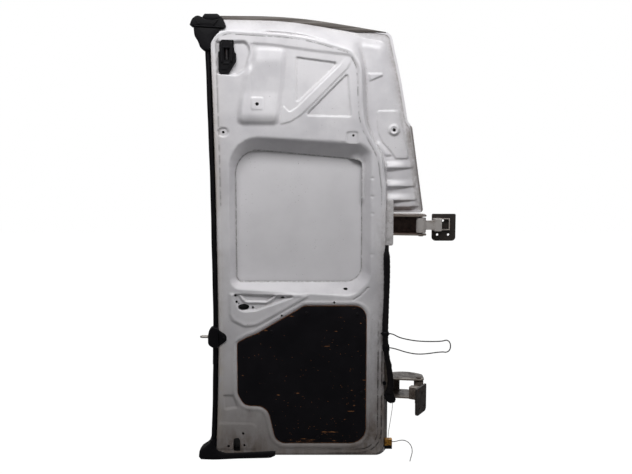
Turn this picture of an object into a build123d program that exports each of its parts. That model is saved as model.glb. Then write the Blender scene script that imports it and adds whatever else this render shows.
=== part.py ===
"""Rear barn door leaf of a camper van, seen from inside, swung wide open on its two hinges.

The door is described in its own coordinates: across from the free edge towards the hinges,
up from the bottom hem, and out from the plane where the hinge leaves bolt to the body.
"""

import math
import os

from build123d import *

os.makedirs("parts", exist_ok=True)

# Overall sizes of the leaf, in millimetres
FLANK_X = 725.0  # free edge of the inner panel to the hinge flank
DOOR_H = 1850.0  # bottom hem to the top hem at the free edge
TOP_FALL = 68.0  # how far the top edge falls towards the hinge side
WING_FOOT = 1050.0  # height of the lower edge of the wing
WING_X = 867.0  # outermost reach of the wing, at its foot
SILL = 735.0  # lower edge of the window cove
HEAD = WING_FOOT + 312.0  # upper edge of the window cove
SKIN_OVERHANG = 14.0  # outer skin past the free edge, behind the seal
TOP_BEND = (330.0, DOOR_H - 4.0)  # where the top edge starts to fall
TOP_CORNER = (FLANK_X - 1.0, DOOR_H - TOP_FALL)  # on the hinge side, before rounding
WING_STEP = (FLANK_X + 72.0, WING_FOOT + 377.0)  # where the wing steps out towards the body side
WING_STEP_OUT = 19.0
WING_STEP_DROP = 26.0
WING_BEND = (FLANK_X + 41.0, (WING_STEP[1] + TOP_CORNER[1]) / 2)  # slight bend of the wing's edge

# Sheet and depth
SHEET = 2.0
SKIN_OUT = 6.0  # outer face of the skin, out from the mating plane
SKIN_IN = SKIN_OUT + SHEET
HEM = 10.0  # width of the folded hem
HEM_FIT = 0.3
LAND = 72.0  # the seal land, the broad front face of the inner panel
WING_LAND = 28.0  # top of the shallow wing pressing
FLANGE = SKIN_IN + SHEET
HEM_TOP = FLANGE + SHEET
DRAFT = 30.0  # slope of pressed walls, in degrees
FREE_BASE = 2.0  # free side wall of the tray at the skin
FREE_LAND = 14.0  # and at the land
FLANK_BASE = FLANK_X - HEM - 1.0  # hinge side wall of the tray at the skin
FLANK_LAND = FLANK_BASE - 8.0  # and at the land
SEAT = 0.3  # room between a rubber or fitted piece and its seat

# Hinges
PIN_X = 852.0
PIN_OUT = 56.0  # pin axis, out from the mating plane
PIN_R = 6.0
PIN_FIT = 0.05
UPPER_PIN_Z = WING_FOOT - 48.0  # the upper hinge sits close under the wing
LOWER_PIN_Z = 312.0
EAR_T = 6.0
EAR_GAP = 36.0  # half the space between the ears
EAR_R = 22.0
EAR_BACK = -30.0  # back corner of the ears at the door
EAR_BELLY = (800.0, -42.0)  # furthest point of the arched back
EAR_TIP = 4.0  # end of the arched back, beyond the pin
KNUCKLE_R = 20.0
KNUCKLE_H = 30.0  # half the height of the knuckle
PIN_HEAD_R = 10.0
PIN_HEAD_H = 4.0
FOOT_T = 26.0
FOOT_IN = 24.0
FOOT_OUT = 60.0
FOOT_ROUND = 9.0
UPPER_FOOT = (-85.0, 105.0)  # ends of the foot, up from the pin
LOWER_FOOT = (-50.0, 108.0)
UPPER_WEB_END = PIN_X + 10.0  # how far the channel's back wall reaches
LOWER_WEB_END = PIN_X - 70.0

# Hinge leaf, measured from the pin
PLATE_NEAR = 52.0
PLATE_FAR = 151.0
PLATE_T = 8.0
PLATE_UP = 42.0
PLATE_DOWN = 71.0
PLATE_CORNER = 16.0
BOLT_R = 5.0
BOLT_PAIR = 46.0  # distance between the lower two bolt holes
BOLT_MID = 98.0
BOLT_LOW = -45.0
BOLT_HIGH = 14.0
NECK_T = 14.0
NECK_H = 19.0
BLOCK_NEAR = 54.0
BLOCK_FAR = 86.0
BLOCK_H = 25.0
BLOCK_ROUND = 6.0
BOX_FAR = 125.0
BOX_WALL = 4.0
BOX_DEPTH = 12.0
LEAF_TURN = -120.0  # how the loose lower leaf hangs, from in line with the door

# The row's origin: the middle of the upper leaf's mating face
ORIGIN_DROP = 14.0  # below the upper pin
ORIGIN_Z = UPPER_PIN_Z - ORIGIN_DROP
DOOR_X = -(PIN_X + BOLT_MID)
DOOR_Z = -ORIGIN_Z


def soft_radius(before, here, after):
    """The radius of an arc that takes up nine tenths of the shorter run at a corner."""
    run_in = Vector(*here) - Vector(*before)
    run_out = Vector(*after) - Vector(*here)
    turn = math.radians(run_in.get_angle(run_out))
    return 0.45 * min(run_in.length, run_out.length) / math.tan(turn / 2)


def raised(points, height):
    """Points given from a landmark, moved up to its height on the door."""
    return tuple((across, up + height) for across, up in points)


def above_window(percent):
    """A height on the panel above the window, as a share of what lies between it and the top."""
    return HEAD + (DOOR_H - HEAD) * percent / 100


# Outline of the leaf, from the bottom of the free edge round to its top
TOP_FREE = (-SKIN_OVERHANG, DOOR_H)
SKIN = (
    (-SKIN_OVERHANG, 0), (FLANK_X, 0), (FLANK_X, WING_FOOT), (WING_X, WING_FOOT),
    (WING_STEP[0] + WING_STEP_OUT, WING_STEP[1] - WING_STEP_DROP), WING_STEP, WING_BEND,
    TOP_CORNER, TOP_BEND, TOP_FREE,
)
SKIN_R = (
    6, 50, 4, 14, 20, 20, soft_radius(WING_STEP, WING_BEND, TOP_CORNER),
    34, soft_radius(TOP_CORNER, TOP_BEND, TOP_FREE), 6,
)

# Window cove and lower aperture
COVE_LAND = (
    (66, SILL + 5), (575, SILL - 28), (645, SILL + 42), (645, HEAD - 57), (600, HEAD - 26),
    (150, HEAD), (66, HEAD - 72),
)
COVE_LAND_R = (40, 60, 60, 40, 40, 90, 70)
COVE_HOLE = (
    (88, SILL + 26), (560, SILL + 26), (608, SILL + 74), (608, HEAD - 112), (590, HEAD - 96),
    (150, HEAD - 52), (88, HEAD - 117),
)
COVE_HOLE_R = (22, 60, 60, 14, 30, 80, 60)
COVE_SLOT = raised(((534, -6), (551, -6), (551, 2), (534, 2)), SILL)
COVE_SLOT_R = 3.5
BOARD = (
    (90, 510), (130, 532), (175, 550), (371, SILL - 68), (600, SILL - 68), (630, SILL - 115), (630, 130),
    (600, 76), (250, 76), (215, 236), (118, 240), (90, 290),
)
BOARD_R = (20, 40, 40, 40, 50, 40, 60, 50, 50, 60, 40, 40)
BOARD_T = 3.0
BOARD_SINK = 4.0
BOARD_MARGIN = 5.0
APERTURE_INSET = 26.0
CLIP_R = 8.0
CLIP_H = 3.0
CLIPS = ((381, SILL - 100), (591, SILL - 105), (234, 556), (611, 296), (426, 100))

# Features pressed into the inner panel above the window
TRIANGLES = (
    ((336, above_window(66)), (516, above_window(61)), (336, above_window(26))),
    ((550, above_window(54)), (566, above_window(16)), (368, above_window(17))),
)
TRIANGLE_R = 10.0
TRIANGLE_DEPTH = 8.0
BRACE = (
    (286, above_window(11)), (318, above_window(12)), (364, above_window(18)), (540, above_window(54)),
    (512, above_window(59)), (341, above_window(25)), (312, above_window(20)), (286, above_window(25)),
)
BRACE_R = (6, 20, 30, 10, 10, 20, 10, 6)
BRACE_H = 3.0
SPINE = (
    (120, above_window(31)), (284, above_window(31)), (300, above_window(70)), (172, above_window(70)),
    (162, above_window(58)), (128, above_window(50)),
)
SPINE_R = 12.0
SPINE_H = 5.0
ANCHOR_LOW, ANCHOR_HIGH = above_window(9), above_window(36)
ANCHOR_PAD = ((94, ANCHOR_LOW), (276, ANCHOR_LOW), (276, ANCHOR_HIGH), (104, ANCHOR_HIGH))
ANCHOR_R = 28.0
ANCHOR_H = 18.0
ANCHOR_DRAFT = 45.0
ANCHOR_HOLE = (182, above_window(27))
LATCH_Z = DOOR_H - 170.0  # middle of the upper latch
LATCH_POCKET = raised(((23, -74), (98, -80), (148, -46), (157, 14), (140, 72), (23, 72)), LATCH_Z)
LATCH_POCKET_R = (10, 30, 40, 50, 30, 10)
LATCH_DEPTH = 14.0
LATCH_DRAFT = 8.0
DISH = (48, HEAD + 19)
DISH_R = 20.0
DISH_DEPTH = 5.0

# Features below the window: lever pocket with its rib, the ridge over the board, corner and pad
LEVER_POCKET = raised(((78, -15), (352, -27), (176, -90), (112, -87), (82, -47)), SILL)
LEVER_R = (14, 8, 30, 20, 12)
LEVER_DEPTH = 10.0
LEVER_RIB = raised(((104, -20), (122, -44), (232, -48), (262, -24)), SILL)
LEVER_RIB_R = 6.0
LEVER_RIB_H = 7.0
LEVER_SLOT = raised(((104, -80), (146, -80), (146, -58), (104, -58)), SILL)
LEVER_SLOT_R = 9.0
LEVER_HOLES = raised(((158, -74), (282, -34)), SILL)
RIDGE = raised(
    ((92, -135), (120, -150), (178, -140), (304, -70), (290, -54), (176, -106), (112, -106)), SILL,
)
RIDGE_R = (10, 14, 14, 6, 6, 14, 10)
RIDGE_H = 4.0
CORNER_POCKET = ((34, 286), (64, 286), (80, 224), (34, 218))
CORNER_R = 6.0
CORNER_DEPTH = 8.0
LOWER_PAD = ((24, 47), (160, 47), (160, 146), (24, 154))
LOWER_PAD_R = 10.0
LOWER_PAD_H = 3.0
LOWER_SLOT = ((72, 52), (97, 52), (97, 108), (72, 108))
LOWER_SLOT_R = (4, 4, 12, 12)
LOWER_HOLES = ((112, 119), (56, 64), (114, 68))

# Features pressed into the wing
WING_PLATE = raised(
    ((674, 422), (756, 422), (768, 330), (788, 217), (744, 217), (728, 253), (702, 295), (688, 340)),
    WING_FOOT,
)
WING_PLATE_R = 12.0
WING_PLATE_H = 4.0
WING_BOSS = (737, WING_FOOT + 341)
WING_BOSS_R = 24.0
WING_BOSS_H = 11.0
WING_RIBS = (
    (716, 812, WING_FOOT + 178), (716, 824, WING_FOOT + 103), (742, 836, WING_FOOT + 52),
)
WING_RIB_W = 24.0  # broad end of a rib, towards the tray
WING_RIB_TIP = 9.0
WING_RIB_H = 6.0
TOP_RIB = ((636, -17), (694, 0), (636, 17))
TOP_RIB_Z = WING_BEND[1]
TOP_RIB_R = 5.0
TOP_RIB_H = 10.0

SMALL_HOLE_R = 5.0
BIG_HOLE_R = 7.0
LAND_HOLES = ((571, HEAD + 6), (495, SILL - 48), (276, SILL - 109))

# Rubber at the free edge: seal, sleeve and the two corner boots
SEAL_BACK = HEM_TOP + SEAT
SEAL_FRONT = 64.0
SEAL_REACH = 20.0  # how far the seal stands out past the free edge
FUNNEL_DROP = 145.0  # foot of the top boot, below the top of the door
SEAL_Z = (88.0, DOOR_H - FUNNEL_DROP - SEAT)
SEAL_CHAMFER = 12.0
SLEEVE_T = 4.0
SLEEVE_Z = (413.0, 484.0)
SLEEVE_INSET = 16.0
SLEEVE_SLOPE = 4.0
BOOT_FRONT = 79.0
BOOT_R = 6.0
TOP_CAP = raised(
    ((-85, -46), (-76, -21), (-50, -7), (-36, -14), (46, -15), (60, -54), (-68, -49)), DOOR_H,
)
TOP_FUNNEL = raised(
    ((-70, -40), (44, -40), (44, -52), (15, -92), (2, -111), (-5, -131), (-8, -FUNNEL_DROP),
     (-30, -FUNNEL_DROP), (-44, -132), (-53, -108), (-66, -87)), DOOR_H,
)
FUNNEL_SINK = 4.0
TOP_KNOB = raised(((-36, -18), (-24, -3), (28, -3), (46, -18), (8, -28), (-14, -26)), DOOR_H)
TOP_KNOB_R = 3.0
TOP_KNOB_H = 20.0
FOOT_BOOT = (
    (-26, SEAL_Z[0] - SEAT), (-26, 74), (-70, 48), (-79, 32), (-79, 6), (-70, 2), (-14, 1), (228, 9),
    (246, 20), (248, 45), (100, 38), (46, 37), (18, 45), (1, 59), (-6, 72), (-6, SEAL_Z[0] - SEAT),
)
FOOT_BOOT_R = 4.0

# Latch and striker
LATCH = raised(
    ((43, 67), (90, 66), (92, 22), (99, 13), (99, -18), (69, -66), (33, -66), (29, -56), (29, 18),
     (33, 24), (33, 54)), LATCH_Z,
)
LATCH_PROUD = 3.0  # latch body above the land
LATCH_COVER = raised(((38, 48), (46, 57), (86, 57), (86, -20), (64, -50), (38, -50)), LATCH_Z)
LATCH_COVER_T = 3.0
LATCH_R = 3.0
LATCH_SLOT = raised(((51, -14), (73, -14), (73, 36), (51, 36)), LATCH_Z)
LATCH_SLOT_R = 3.0
LATCH_BOLT_R = 5.5
LATCH_BOLT_GAP = 3.0
STRIKER_BLOCK = ((-29, 506), (-18, 494), (12, 492), (12, 574), (-8, 581), (-22, 574), (-29, 558))
STRIKER_FLANGE = ((10, 492), (44, 518), (46, 540), (10, 572))
STRIKER_R = 4.0
STRIKER_BACK = SEAL_FRONT + 2.0
STRIKER_FRONT = 90.0
STRIKER_FLANGE_T = 5.0
LOOP_Z = 538.0
LOOP_REACH = 29.0
LOOP_HALF = 7.0
LOOP_WIRE_R = 4.5

# Cable conduit along the hinge flank, and the wires
CONDUIT_R = 9.0
CONDUIT_OUT = LAND + CONDUIT_R + SEAT
CLAMPED = ((706, 570, CONDUIT_OUT), (709, 495, CONDUIT_OUT))  # where the two clamps hold the conduit
CONDUIT = (
    (708, UPPER_PIN_Z - 80, CONDUIT_OUT), (713, UPPER_PIN_Z - 202, CONDUIT_OUT), (709, 660, CONDUIT_OUT),
    *CLAMPED, (719, LOWER_PIN_Z + 118, CONDUIT_OUT - 1), (730, LOWER_PIN_Z + 60, CONDUIT_OUT - 5),
    (732, LOWER_PIN_Z + 20, CONDUIT_OUT - 6), (727, LOWER_PIN_Z - 14, CONDUIT_OUT - 6),
)
CLAMP_T = 4.0
CLAMP_Z = ((545.0, 560.0), (478.0, 506.0))
CLAMP_SIDE = CONDUIT_R + CLAMP_T + SEAT
END_BOOT = ((-13, 10), (13, 10), (21, -14), (28, -29), (24, -43), (4, -45), (-10, -32), (-17, -12))
END_BOOT_R = 6.0
END_BOOT_EDGE = 5.0
WIRE_R = 1.7
WIRE_LOOP = (
    (CLAMPED[0][0] + CLAMP_SIDE, 552, CONDUIT_OUT), (738, 551, CONDUIT_OUT), (762, 536, CONDUIT_OUT),
    (800, 526, CONDUIT_OUT), (855, 518, CONDUIT_OUT), (943, 518, CONDUIT_OUT), (964, 526, CONDUIT_OUT),
    (979, 512, CONDUIT_OUT), (979, 484, CONDUIT_OUT), (964, 471, CONDUIT_OUT), (943, 475, CONDUIT_OUT),
    (856, 462, CONDUIT_OUT), (800, 470, CONDUIT_OUT), (742, 490, CONDUIT_OUT),
    (CLAMPED[1][0] + CLAMP_SIDE, 492, CONDUIT_OUT),
)
FEED_R = 1.1
CONNECTOR_W = 32.0
CONNECTOR_OUT = (42.0, 68.0)
CONNECTOR_R = 3.0
SHELL_Z = (64.0, 89.0)
BASE_Z = (49.0, 64.0)
TAIL_R = 1.6


def door_plane(out):
    """A plane parallel to the door, with across and up as its own axes."""
    return Plane(origin=(DOOR_X, -out, DOOR_Z), x_dir=(1, 0, 0), z_dir=(0, -1, 0))


def level_plane(up):
    """A level plane at a height on the door, with across and out as its own axes."""
    return Plane(origin=(DOOR_X, 0, DOOR_Z + up), x_dir=(1, 0, 0), z_dir=(0, 0, -1))


def door_point(across, up, out):
    """A point given in the door's coordinates."""
    return Vector(DOOR_X + across, -out, DOOR_Z + up)


def outline(points, radii, plane, grow=0.0):
    """A filled outline of straight runs with rounded corners, grown by a margin."""
    with BuildSketch(plane) as shape:
        with BuildLine():
            FilletPolyline(*points, radius=radii, close=True)
        make_face()
        if grow:
            offset(amount=grow)
    return shape.sketch


def skin_outline(out, grow=0.0):
    """The outline of the whole leaf: straight free edge, bowed top, wing and flank."""
    return outline(SKIN, SKIN_R, door_plane(out), grow)


TRAY_BASE = (
    (FREE_BASE, HEM + 1), (FLANK_BASE, HEM + 1), (FLANK_BASE, WING_FOOT + 110),
    (FLANK_BASE - 8, WING_FOOT + 250), (WING_STEP[0] - 127, WING_STEP[1] - 17),
    (TOP_CORNER[0] - 74, TOP_CORNER[1] - 90), (TOP_CORNER[0] - 104, TOP_CORNER[1] - 8),
    (TOP_BEND[0], DOOR_H - 18), (FREE_BASE, DOOR_H - 12),
)
TRAY_LAND = (
    (FREE_LAND, HEM + 14), (FLANK_LAND, HEM + 14), (FLANK_LAND, WING_FOOT + 100),
    (FLANK_LAND - 14, WING_FOOT + 236), (WING_STEP[0] - 155, WING_STEP[1] - 27),
    (TOP_CORNER[0] - 114, TOP_CORNER[1] - 142), (TOP_CORNER[0] - 152, TOP_CORNER[1] - 70),
    (TOP_BEND[0] + 30, DOOR_H - 78), (FREE_LAND, DOOR_H - 58),
)
TRAY_R = (12, 42, 60, 120, 60, 120, 45, 60, 60)
WING_BASE = (
    (560, WING_FOOT + 50), (690, WING_FOOT + HEM + 1), (WING_X - HEM - 4, WING_FOOT + HEM + 1),
    (WING_STEP[0] + WING_STEP_OUT - 14, WING_STEP[1] - WING_STEP_DROP - 5),
    (WING_STEP[0] - 15, WING_STEP[1] + 1), (WING_BEND[0] - 14, WING_BEND[1] - 4),
    (TOP_CORNER[0] - 26, TOP_CORNER[1] - 34), (540, TOP_CORNER[1] - 12),
)
WING_TOP = (
    (580, WING_FOOT + 70), (700, WING_FOOT + HEM + 10), (WING_X - HEM - 20, WING_FOOT + HEM + 10),
    (WING_STEP[0] + WING_STEP_OUT - 30, WING_STEP[1] - WING_STEP_DROP - 12),
    (WING_STEP[0] - 31, WING_STEP[1] - 7), (WING_BEND[0] - 30, WING_BEND[1] - 8),
    (TOP_CORNER[0] - 46, TOP_CORNER[1] - 56), (555, TOP_CORNER[1] - 40),
)
WING_R = (20, 20, 14, 20, 30, 300, 40, 20)


def wall_loft(base, top, radii, base_out, top_out, grow, mode=Mode.ADD):
    """A tapering tray between two outlines, grown or shrunk by the sheet."""
    lower = outline(base, radii, door_plane(base_out), grow)
    upper = outline(top, radii, door_plane(top_out), grow)
    return loft([lower.face(), upper.face()], ruled=True, mode=mode)


def press_pocket(points, radii, depth, floor=LAND, draft=DRAFT):
    """A pocket pressed into the sheet: first its backing, then its hollow."""
    backing = outline(points, radii, door_plane(floor), SHEET)
    extrude(backing, amount=-(depth + SHEET), taper=draft)
    extrude(outline(points, radii, door_plane(floor)), amount=-depth, taper=draft, mode=Mode.SUBTRACT)


def press_pad(points, radii, height, floor=LAND, draft=DRAFT):
    """A pad pressed out of the sheet towards the inside of the van, hollow behind."""
    extrude(outline(points, radii, door_plane(floor - SHEET)), amount=height + SHEET, taper=draft)
    hollow = outline(points, radii, door_plane(floor - SHEET), -SHEET)
    extrude(hollow, amount=height, taper=draft, mode=Mode.SUBTRACT)


def bore(across, up, out, radius, depth):
    """A round hole through the sheet, seen from the inside of the van."""
    with Locations(door_plane(out)):
        with Locations((across, up)):
            Cylinder(radius, depth, mode=Mode.SUBTRACT)


def finish(builder, name):
    """Name a piece and write it."""
    builder.part.label = name
    export_step(builder.part, f"parts/{name}.step")


# Outer skin with its edge folded over the inner panel's flange: it blanks the window
with BuildPart() as outer_skin:
    extrude(skin_outline(SKIN_OUT), amount=HEM_TOP - SKIN_OUT)
    extrude(skin_outline(SKIN_IN, -SHEET), amount=SHEET, mode=Mode.SUBTRACT)
    extrude(skin_outline(FLANGE, -HEM), amount=SHEET, mode=Mode.SUBTRACT)
finish(outer_skin, "outer_skin")

# Inner panel: a deep tray and a shallow wing on one flange, with everything pressed into it
with BuildPart() as inner_panel:
    extrude(skin_outline(SKIN_IN, -SHEET - HEM_FIT), amount=SHEET)
    wall_loft(TRAY_BASE, TRAY_LAND, TRAY_R, SKIN_IN, LAND, 0)
    wall_loft(WING_BASE, WING_TOP, WING_R, SKIN_IN, WING_LAND, 0)
    wall_loft(TRAY_BASE, TRAY_LAND, TRAY_R, SKIN_IN, LAND - SHEET, -SHEET, Mode.SUBTRACT)
    wall_loft(WING_BASE, WING_TOP, WING_R, SKIN_IN, WING_LAND - SHEET, -SHEET, Mode.SUBTRACT)
    # Window cove, a funnel from the land down to the skin
    cove_outer = outline(COVE_LAND, COVE_LAND_R, door_plane(LAND), SHEET)
    cove_inner = outline(COVE_HOLE, COVE_HOLE_R, door_plane(SKIN_IN), SHEET)
    loft([cove_inner.face(), cove_outer.face()], ruled=True)
    cove_outer = outline(COVE_LAND, COVE_LAND_R, door_plane(LAND))
    cove_inner = outline(COVE_HOLE, COVE_HOLE_R, door_plane(SKIN_IN))
    loft([cove_inner.face(), cove_outer.face()], ruled=True, mode=Mode.SUBTRACT)
    slot = outline(COVE_SLOT, COVE_SLOT_R, door_plane(LAND))
    extrude(slot, amount=FLANGE + SHEET - LAND, mode=Mode.SUBTRACT)
    # Seat of the trim board and the aperture behind it
    board_seat = outline(BOARD, BOARD_R, door_plane(LAND), BOARD_MARGIN + SHEET)
    extrude(board_seat, amount=-(BOARD_SINK + SHEET))
    board_seat = outline(BOARD, BOARD_R, door_plane(LAND), BOARD_MARGIN)
    extrude(board_seat, amount=-BOARD_SINK, mode=Mode.SUBTRACT)
    aperture = outline(BOARD, BOARD_R, door_plane(LAND), -APERTURE_INSET)
    extrude(aperture, amount=-(BOARD_SINK + 2 * SHEET), mode=Mode.SUBTRACT)
    # Above the window: two triangular pockets, the brace between them, the spine and its anchor pad
    for triangle in TRIANGLES:
        press_pocket(triangle, TRIANGLE_R, TRIANGLE_DEPTH)
    press_pad(BRACE, BRACE_R, BRACE_H)
    press_pad(SPINE, SPINE_R, SPINE_H)
    press_pad(ANCHOR_PAD, ANCHOR_R, ANCHOR_H, draft=ANCHOR_DRAFT)
    # Pockets for the latch, the lever and the lower corner, and the lower bolt's pad
    press_pocket(LATCH_POCKET, LATCH_POCKET_R, LATCH_DEPTH, draft=LATCH_DRAFT)
    press_pocket(LEVER_POCKET, LEVER_R, LEVER_DEPTH)
    press_pad(LEVER_RIB, LEVER_RIB_R, LEVER_RIB_H, LAND - LEVER_DEPTH)
    slot = outline(LEVER_SLOT, LEVER_SLOT_R, door_plane(LAND))
    extrude(slot, amount=-(LEVER_DEPTH + 2 * SHEET), mode=Mode.SUBTRACT)
    press_pad(RIDGE, RIDGE_R, RIDGE_H)
    press_pocket(CORNER_POCKET, CORNER_R, CORNER_DEPTH)
    press_pad(LOWER_PAD, LOWER_PAD_R, LOWER_PAD_H)
    slot = outline(LOWER_SLOT, LOWER_SLOT_R, door_plane(LAND + LOWER_PAD_H))
    extrude(slot, amount=-(LOWER_PAD_H + 2 * SHEET), mode=Mode.SUBTRACT)
    # Wing: raised plate with its boss, three ribs that narrow outwards, and one at the top bend
    press_pad(WING_PLATE, WING_PLATE_R, WING_PLATE_H, WING_LAND)
    for left, right, height in WING_RIBS:
        rib = (
            (left, -WING_RIB_W / 2), (right, -WING_RIB_TIP / 2), (right, WING_RIB_TIP / 2),
            (left, WING_RIB_W / 2),
        )
        press_pad(raised(rib, height), WING_RIB_TIP / 3, WING_RIB_H, WING_LAND, DRAFT / 2)
    press_pad(raised(TOP_RIB, TOP_RIB_Z), TOP_RIB_R, TOP_RIB_H, WING_LAND, DRAFT / 2)
    # Round dish and boss, and the holes
    with BuildSketch(door_plane(LAND)):
        with Locations(DISH):
            Circle(DISH_R + SHEET)
    extrude(amount=-(DISH_DEPTH + SHEET))
    with BuildSketch(door_plane(LAND)):
        with Locations(DISH):
            Circle(DISH_R)
    extrude(amount=-DISH_DEPTH, taper=DRAFT, mode=Mode.SUBTRACT)
    with BuildSketch(door_plane(WING_LAND - SHEET)):
        with Locations(WING_BOSS):
            Circle(WING_BOSS_R)
    extrude(amount=WING_BOSS_H, taper=DRAFT / 2)
    bore(*WING_BOSS, WING_LAND, BIG_HOLE_R, 6 * WING_BOSS_H)
    bore(*DISH, LAND, SMALL_HOLE_R, 4 * DISH_DEPTH)
    bore(*ANCHOR_HOLE, LAND, BIG_HOLE_R, 4 * ANCHOR_H)
    for hole in LAND_HOLES + LOWER_HOLES:
        bore(*hole, LAND, SMALL_HOLE_R, 4 * SHEET + 2 * LOWER_PAD_H)
    for hole in LEVER_HOLES:
        bore(*hole, LAND, SMALL_HOLE_R, 4 * LEVER_DEPTH)
finish(inner_panel, "inner_panel")

with BuildPart() as trim_board:
    extrude(outline(BOARD, BOARD_R, door_plane(LAND - BOARD_SINK)), amount=BOARD_T)
finish(trim_board, "trim_board")

with BuildPart() as trim_clips:
    with BuildSketch(door_plane(LAND - BOARD_SINK + BOARD_T)):
        with Locations(*CLIPS):
            Circle(CLIP_R)
    extrude(amount=CLIP_H, taper=DRAFT)
finish(trim_clips, "trim_clips")


def free_wall(out):
    """Where the free side wall of the tray stands, at a distance out."""
    return FREE_BASE + (FREE_LAND - FREE_BASE) * (out - SKIN_IN) / (LAND - SKIN_IN)


def flank_wall(out):
    """Where the hinge side wall of the tray stands, at a distance out."""
    return FLANK_BASE + (FLANK_LAND - FLANK_BASE) * (out - SKIN_IN) / (LAND - SKIN_IN)


# Meeting edge seal in the corner of the skin and the free wall, and the sleeve over it
with BuildPart() as meeting_edge_seal:
    profile = (
        (free_wall(SEAL_BACK) - SEAT, SEAL_BACK), (-SEAL_REACH + SEAL_CHAMFER, SEAL_BACK),
        (-SEAL_REACH, SEAL_BACK + SEAL_CHAMFER), (-SEAL_REACH, SEAL_FRONT - SEAL_CHAMFER),
        (-SEAL_REACH + SEAL_CHAMFER, SEAL_FRONT), (free_wall(SEAL_FRONT) - SEAT, SEAL_FRONT),
    )
    extrude(outline(profile, (0, 4, 8, 8, 4, 0), level_plane(SEAL_Z[1])), amount=SEAL_Z[1] - SEAL_Z[0])
finish(meeting_edge_seal, "meeting_edge_seal")

with BuildPart() as seal_sleeve:
    profile = (
        (-SEAL_REACH - SEAT, SEAL_BACK + SLEEVE_INSET),
        (-SEAL_REACH - SLEEVE_T, SEAL_BACK + SLEEVE_INSET + SLEEVE_SLOPE),
        (-SEAL_REACH - SLEEVE_T, SEAL_FRONT - SLEEVE_INSET - SLEEVE_SLOPE),
        (-SEAL_REACH - SEAT, SEAL_FRONT - SLEEVE_INSET),
    )
    extrude(outline(profile, 1, level_plane(SLEEVE_Z[1])), amount=SLEEVE_Z[1] - SLEEVE_Z[0])
finish(seal_sleeve, "seal_sleeve")

# Corner boots, moulded over the corners of the tray
with BuildPart() as top_corner_boot:
    extrude(outline(TOP_CAP, BOOT_R, door_plane(SEAL_BACK)), amount=BOOT_FRONT - SEAL_BACK)
    funnel = outline(TOP_FUNNEL, BOOT_R, door_plane(SEAL_BACK))
    extrude(funnel, amount=BOOT_FRONT - SEAL_BACK - FUNNEL_SINK)
    extrude(outline(TOP_KNOB, TOP_KNOB_R, door_plane(BOOT_FRONT - TOP_KNOB_H)), amount=TOP_KNOB_H)
    wall_loft(TRAY_BASE, TRAY_LAND, TRAY_R, SKIN_IN, LAND + SEAT, SEAT, Mode.SUBTRACT)
finish(top_corner_boot, "top_corner_boot")

with BuildPart() as bottom_corner_boot:
    extrude(outline(FOOT_BOOT, FOOT_BOOT_R, door_plane(SEAL_BACK)), amount=BOOT_FRONT - SEAL_BACK)
    wall_loft(TRAY_BASE, TRAY_LAND, TRAY_R, SKIN_IN, LAND + SEAT, SEAT, Mode.SUBTRACT)
finish(bottom_corner_boot, "bottom_corner_boot")

# Upper latch in its pocket
with BuildPart() as upper_latch_body:
    latch_floor = LAND - LATCH_DEPTH + SEAT
    extrude(outline(LATCH, LATCH_R, door_plane(latch_floor)), amount=LAND + LATCH_PROUD - latch_floor)
    slot = outline(LATCH_SLOT, LATCH_SLOT_R, door_plane(LAND + LATCH_PROUD))
    extrude(slot, amount=-LATCH_DEPTH, mode=Mode.SUBTRACT)
finish(upper_latch_body, "upper_latch_body")

with BuildPart() as upper_latch_cover:
    extrude(outline(LATCH_COVER, LATCH_R, door_plane(LAND + LATCH_PROUD)), amount=LATCH_COVER_T)
    slot = outline(LATCH_SLOT, LATCH_SLOT_R, door_plane(LAND + LATCH_PROUD))
    extrude(slot, amount=LATCH_COVER_T, mode=Mode.SUBTRACT)
finish(upper_latch_cover, "upper_latch_cover")

with BuildPart() as upper_latch_bolt:
    slot_mid = (LATCH_SLOT[0][0] + LATCH_SLOT[1][0]) / 2
    with BuildSketch(level_plane(LATCH_SLOT[2][1] - LATCH_BOLT_GAP)):
        with Locations((slot_mid, LAND + LATCH_PROUD - LATCH_DEPTH + LATCH_BOLT_R + SEAT)):
            Circle(LATCH_BOLT_R)
    extrude(amount=LATCH_SLOT[2][1] - LATCH_SLOT[0][1] - 2 * LATCH_BOLT_GAP)
finish(upper_latch_bolt, "upper_latch_bolt")

# Striker on the free edge, half way up
with BuildPart() as striker_housing:
    block = outline(STRIKER_BLOCK, STRIKER_R, door_plane(STRIKER_BACK))
    extrude(block, amount=STRIKER_FRONT - STRIKER_BACK)
    flange = outline(STRIKER_FLANGE, STRIKER_R, door_plane(LAND + SEAT), SHEET)
    extrude(flange, amount=STRIKER_FLANGE_T)
    wall_loft(TRAY_BASE, TRAY_LAND, TRAY_R, SKIN_IN, LAND + SEAT, SEAT, Mode.SUBTRACT)
finish(striker_housing, "striker_housing")

with BuildPart() as striker_loop:
    loop_x = STRIKER_BLOCK[0][0]
    loop_out = (STRIKER_BACK + STRIKER_FRONT) / 2
    with BuildLine(level_plane(LOOP_Z)) as loop_path:
        FilletPolyline(
            (loop_x, loop_out + LOOP_HALF), (loop_x - LOOP_REACH, loop_out + LOOP_HALF),
            (loop_x - LOOP_REACH, loop_out - LOOP_HALF), (loop_x, loop_out - LOOP_HALF),
            radius=LOOP_HALF * 0.9,
        )
    with BuildSketch(Plane(origin=loop_path.line @ 0, z_dir=loop_path.line % 0)):
        Circle(LOOP_WIRE_R)
    sweep(path=loop_path.line)
finish(striker_loop, "striker_loop")


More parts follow.
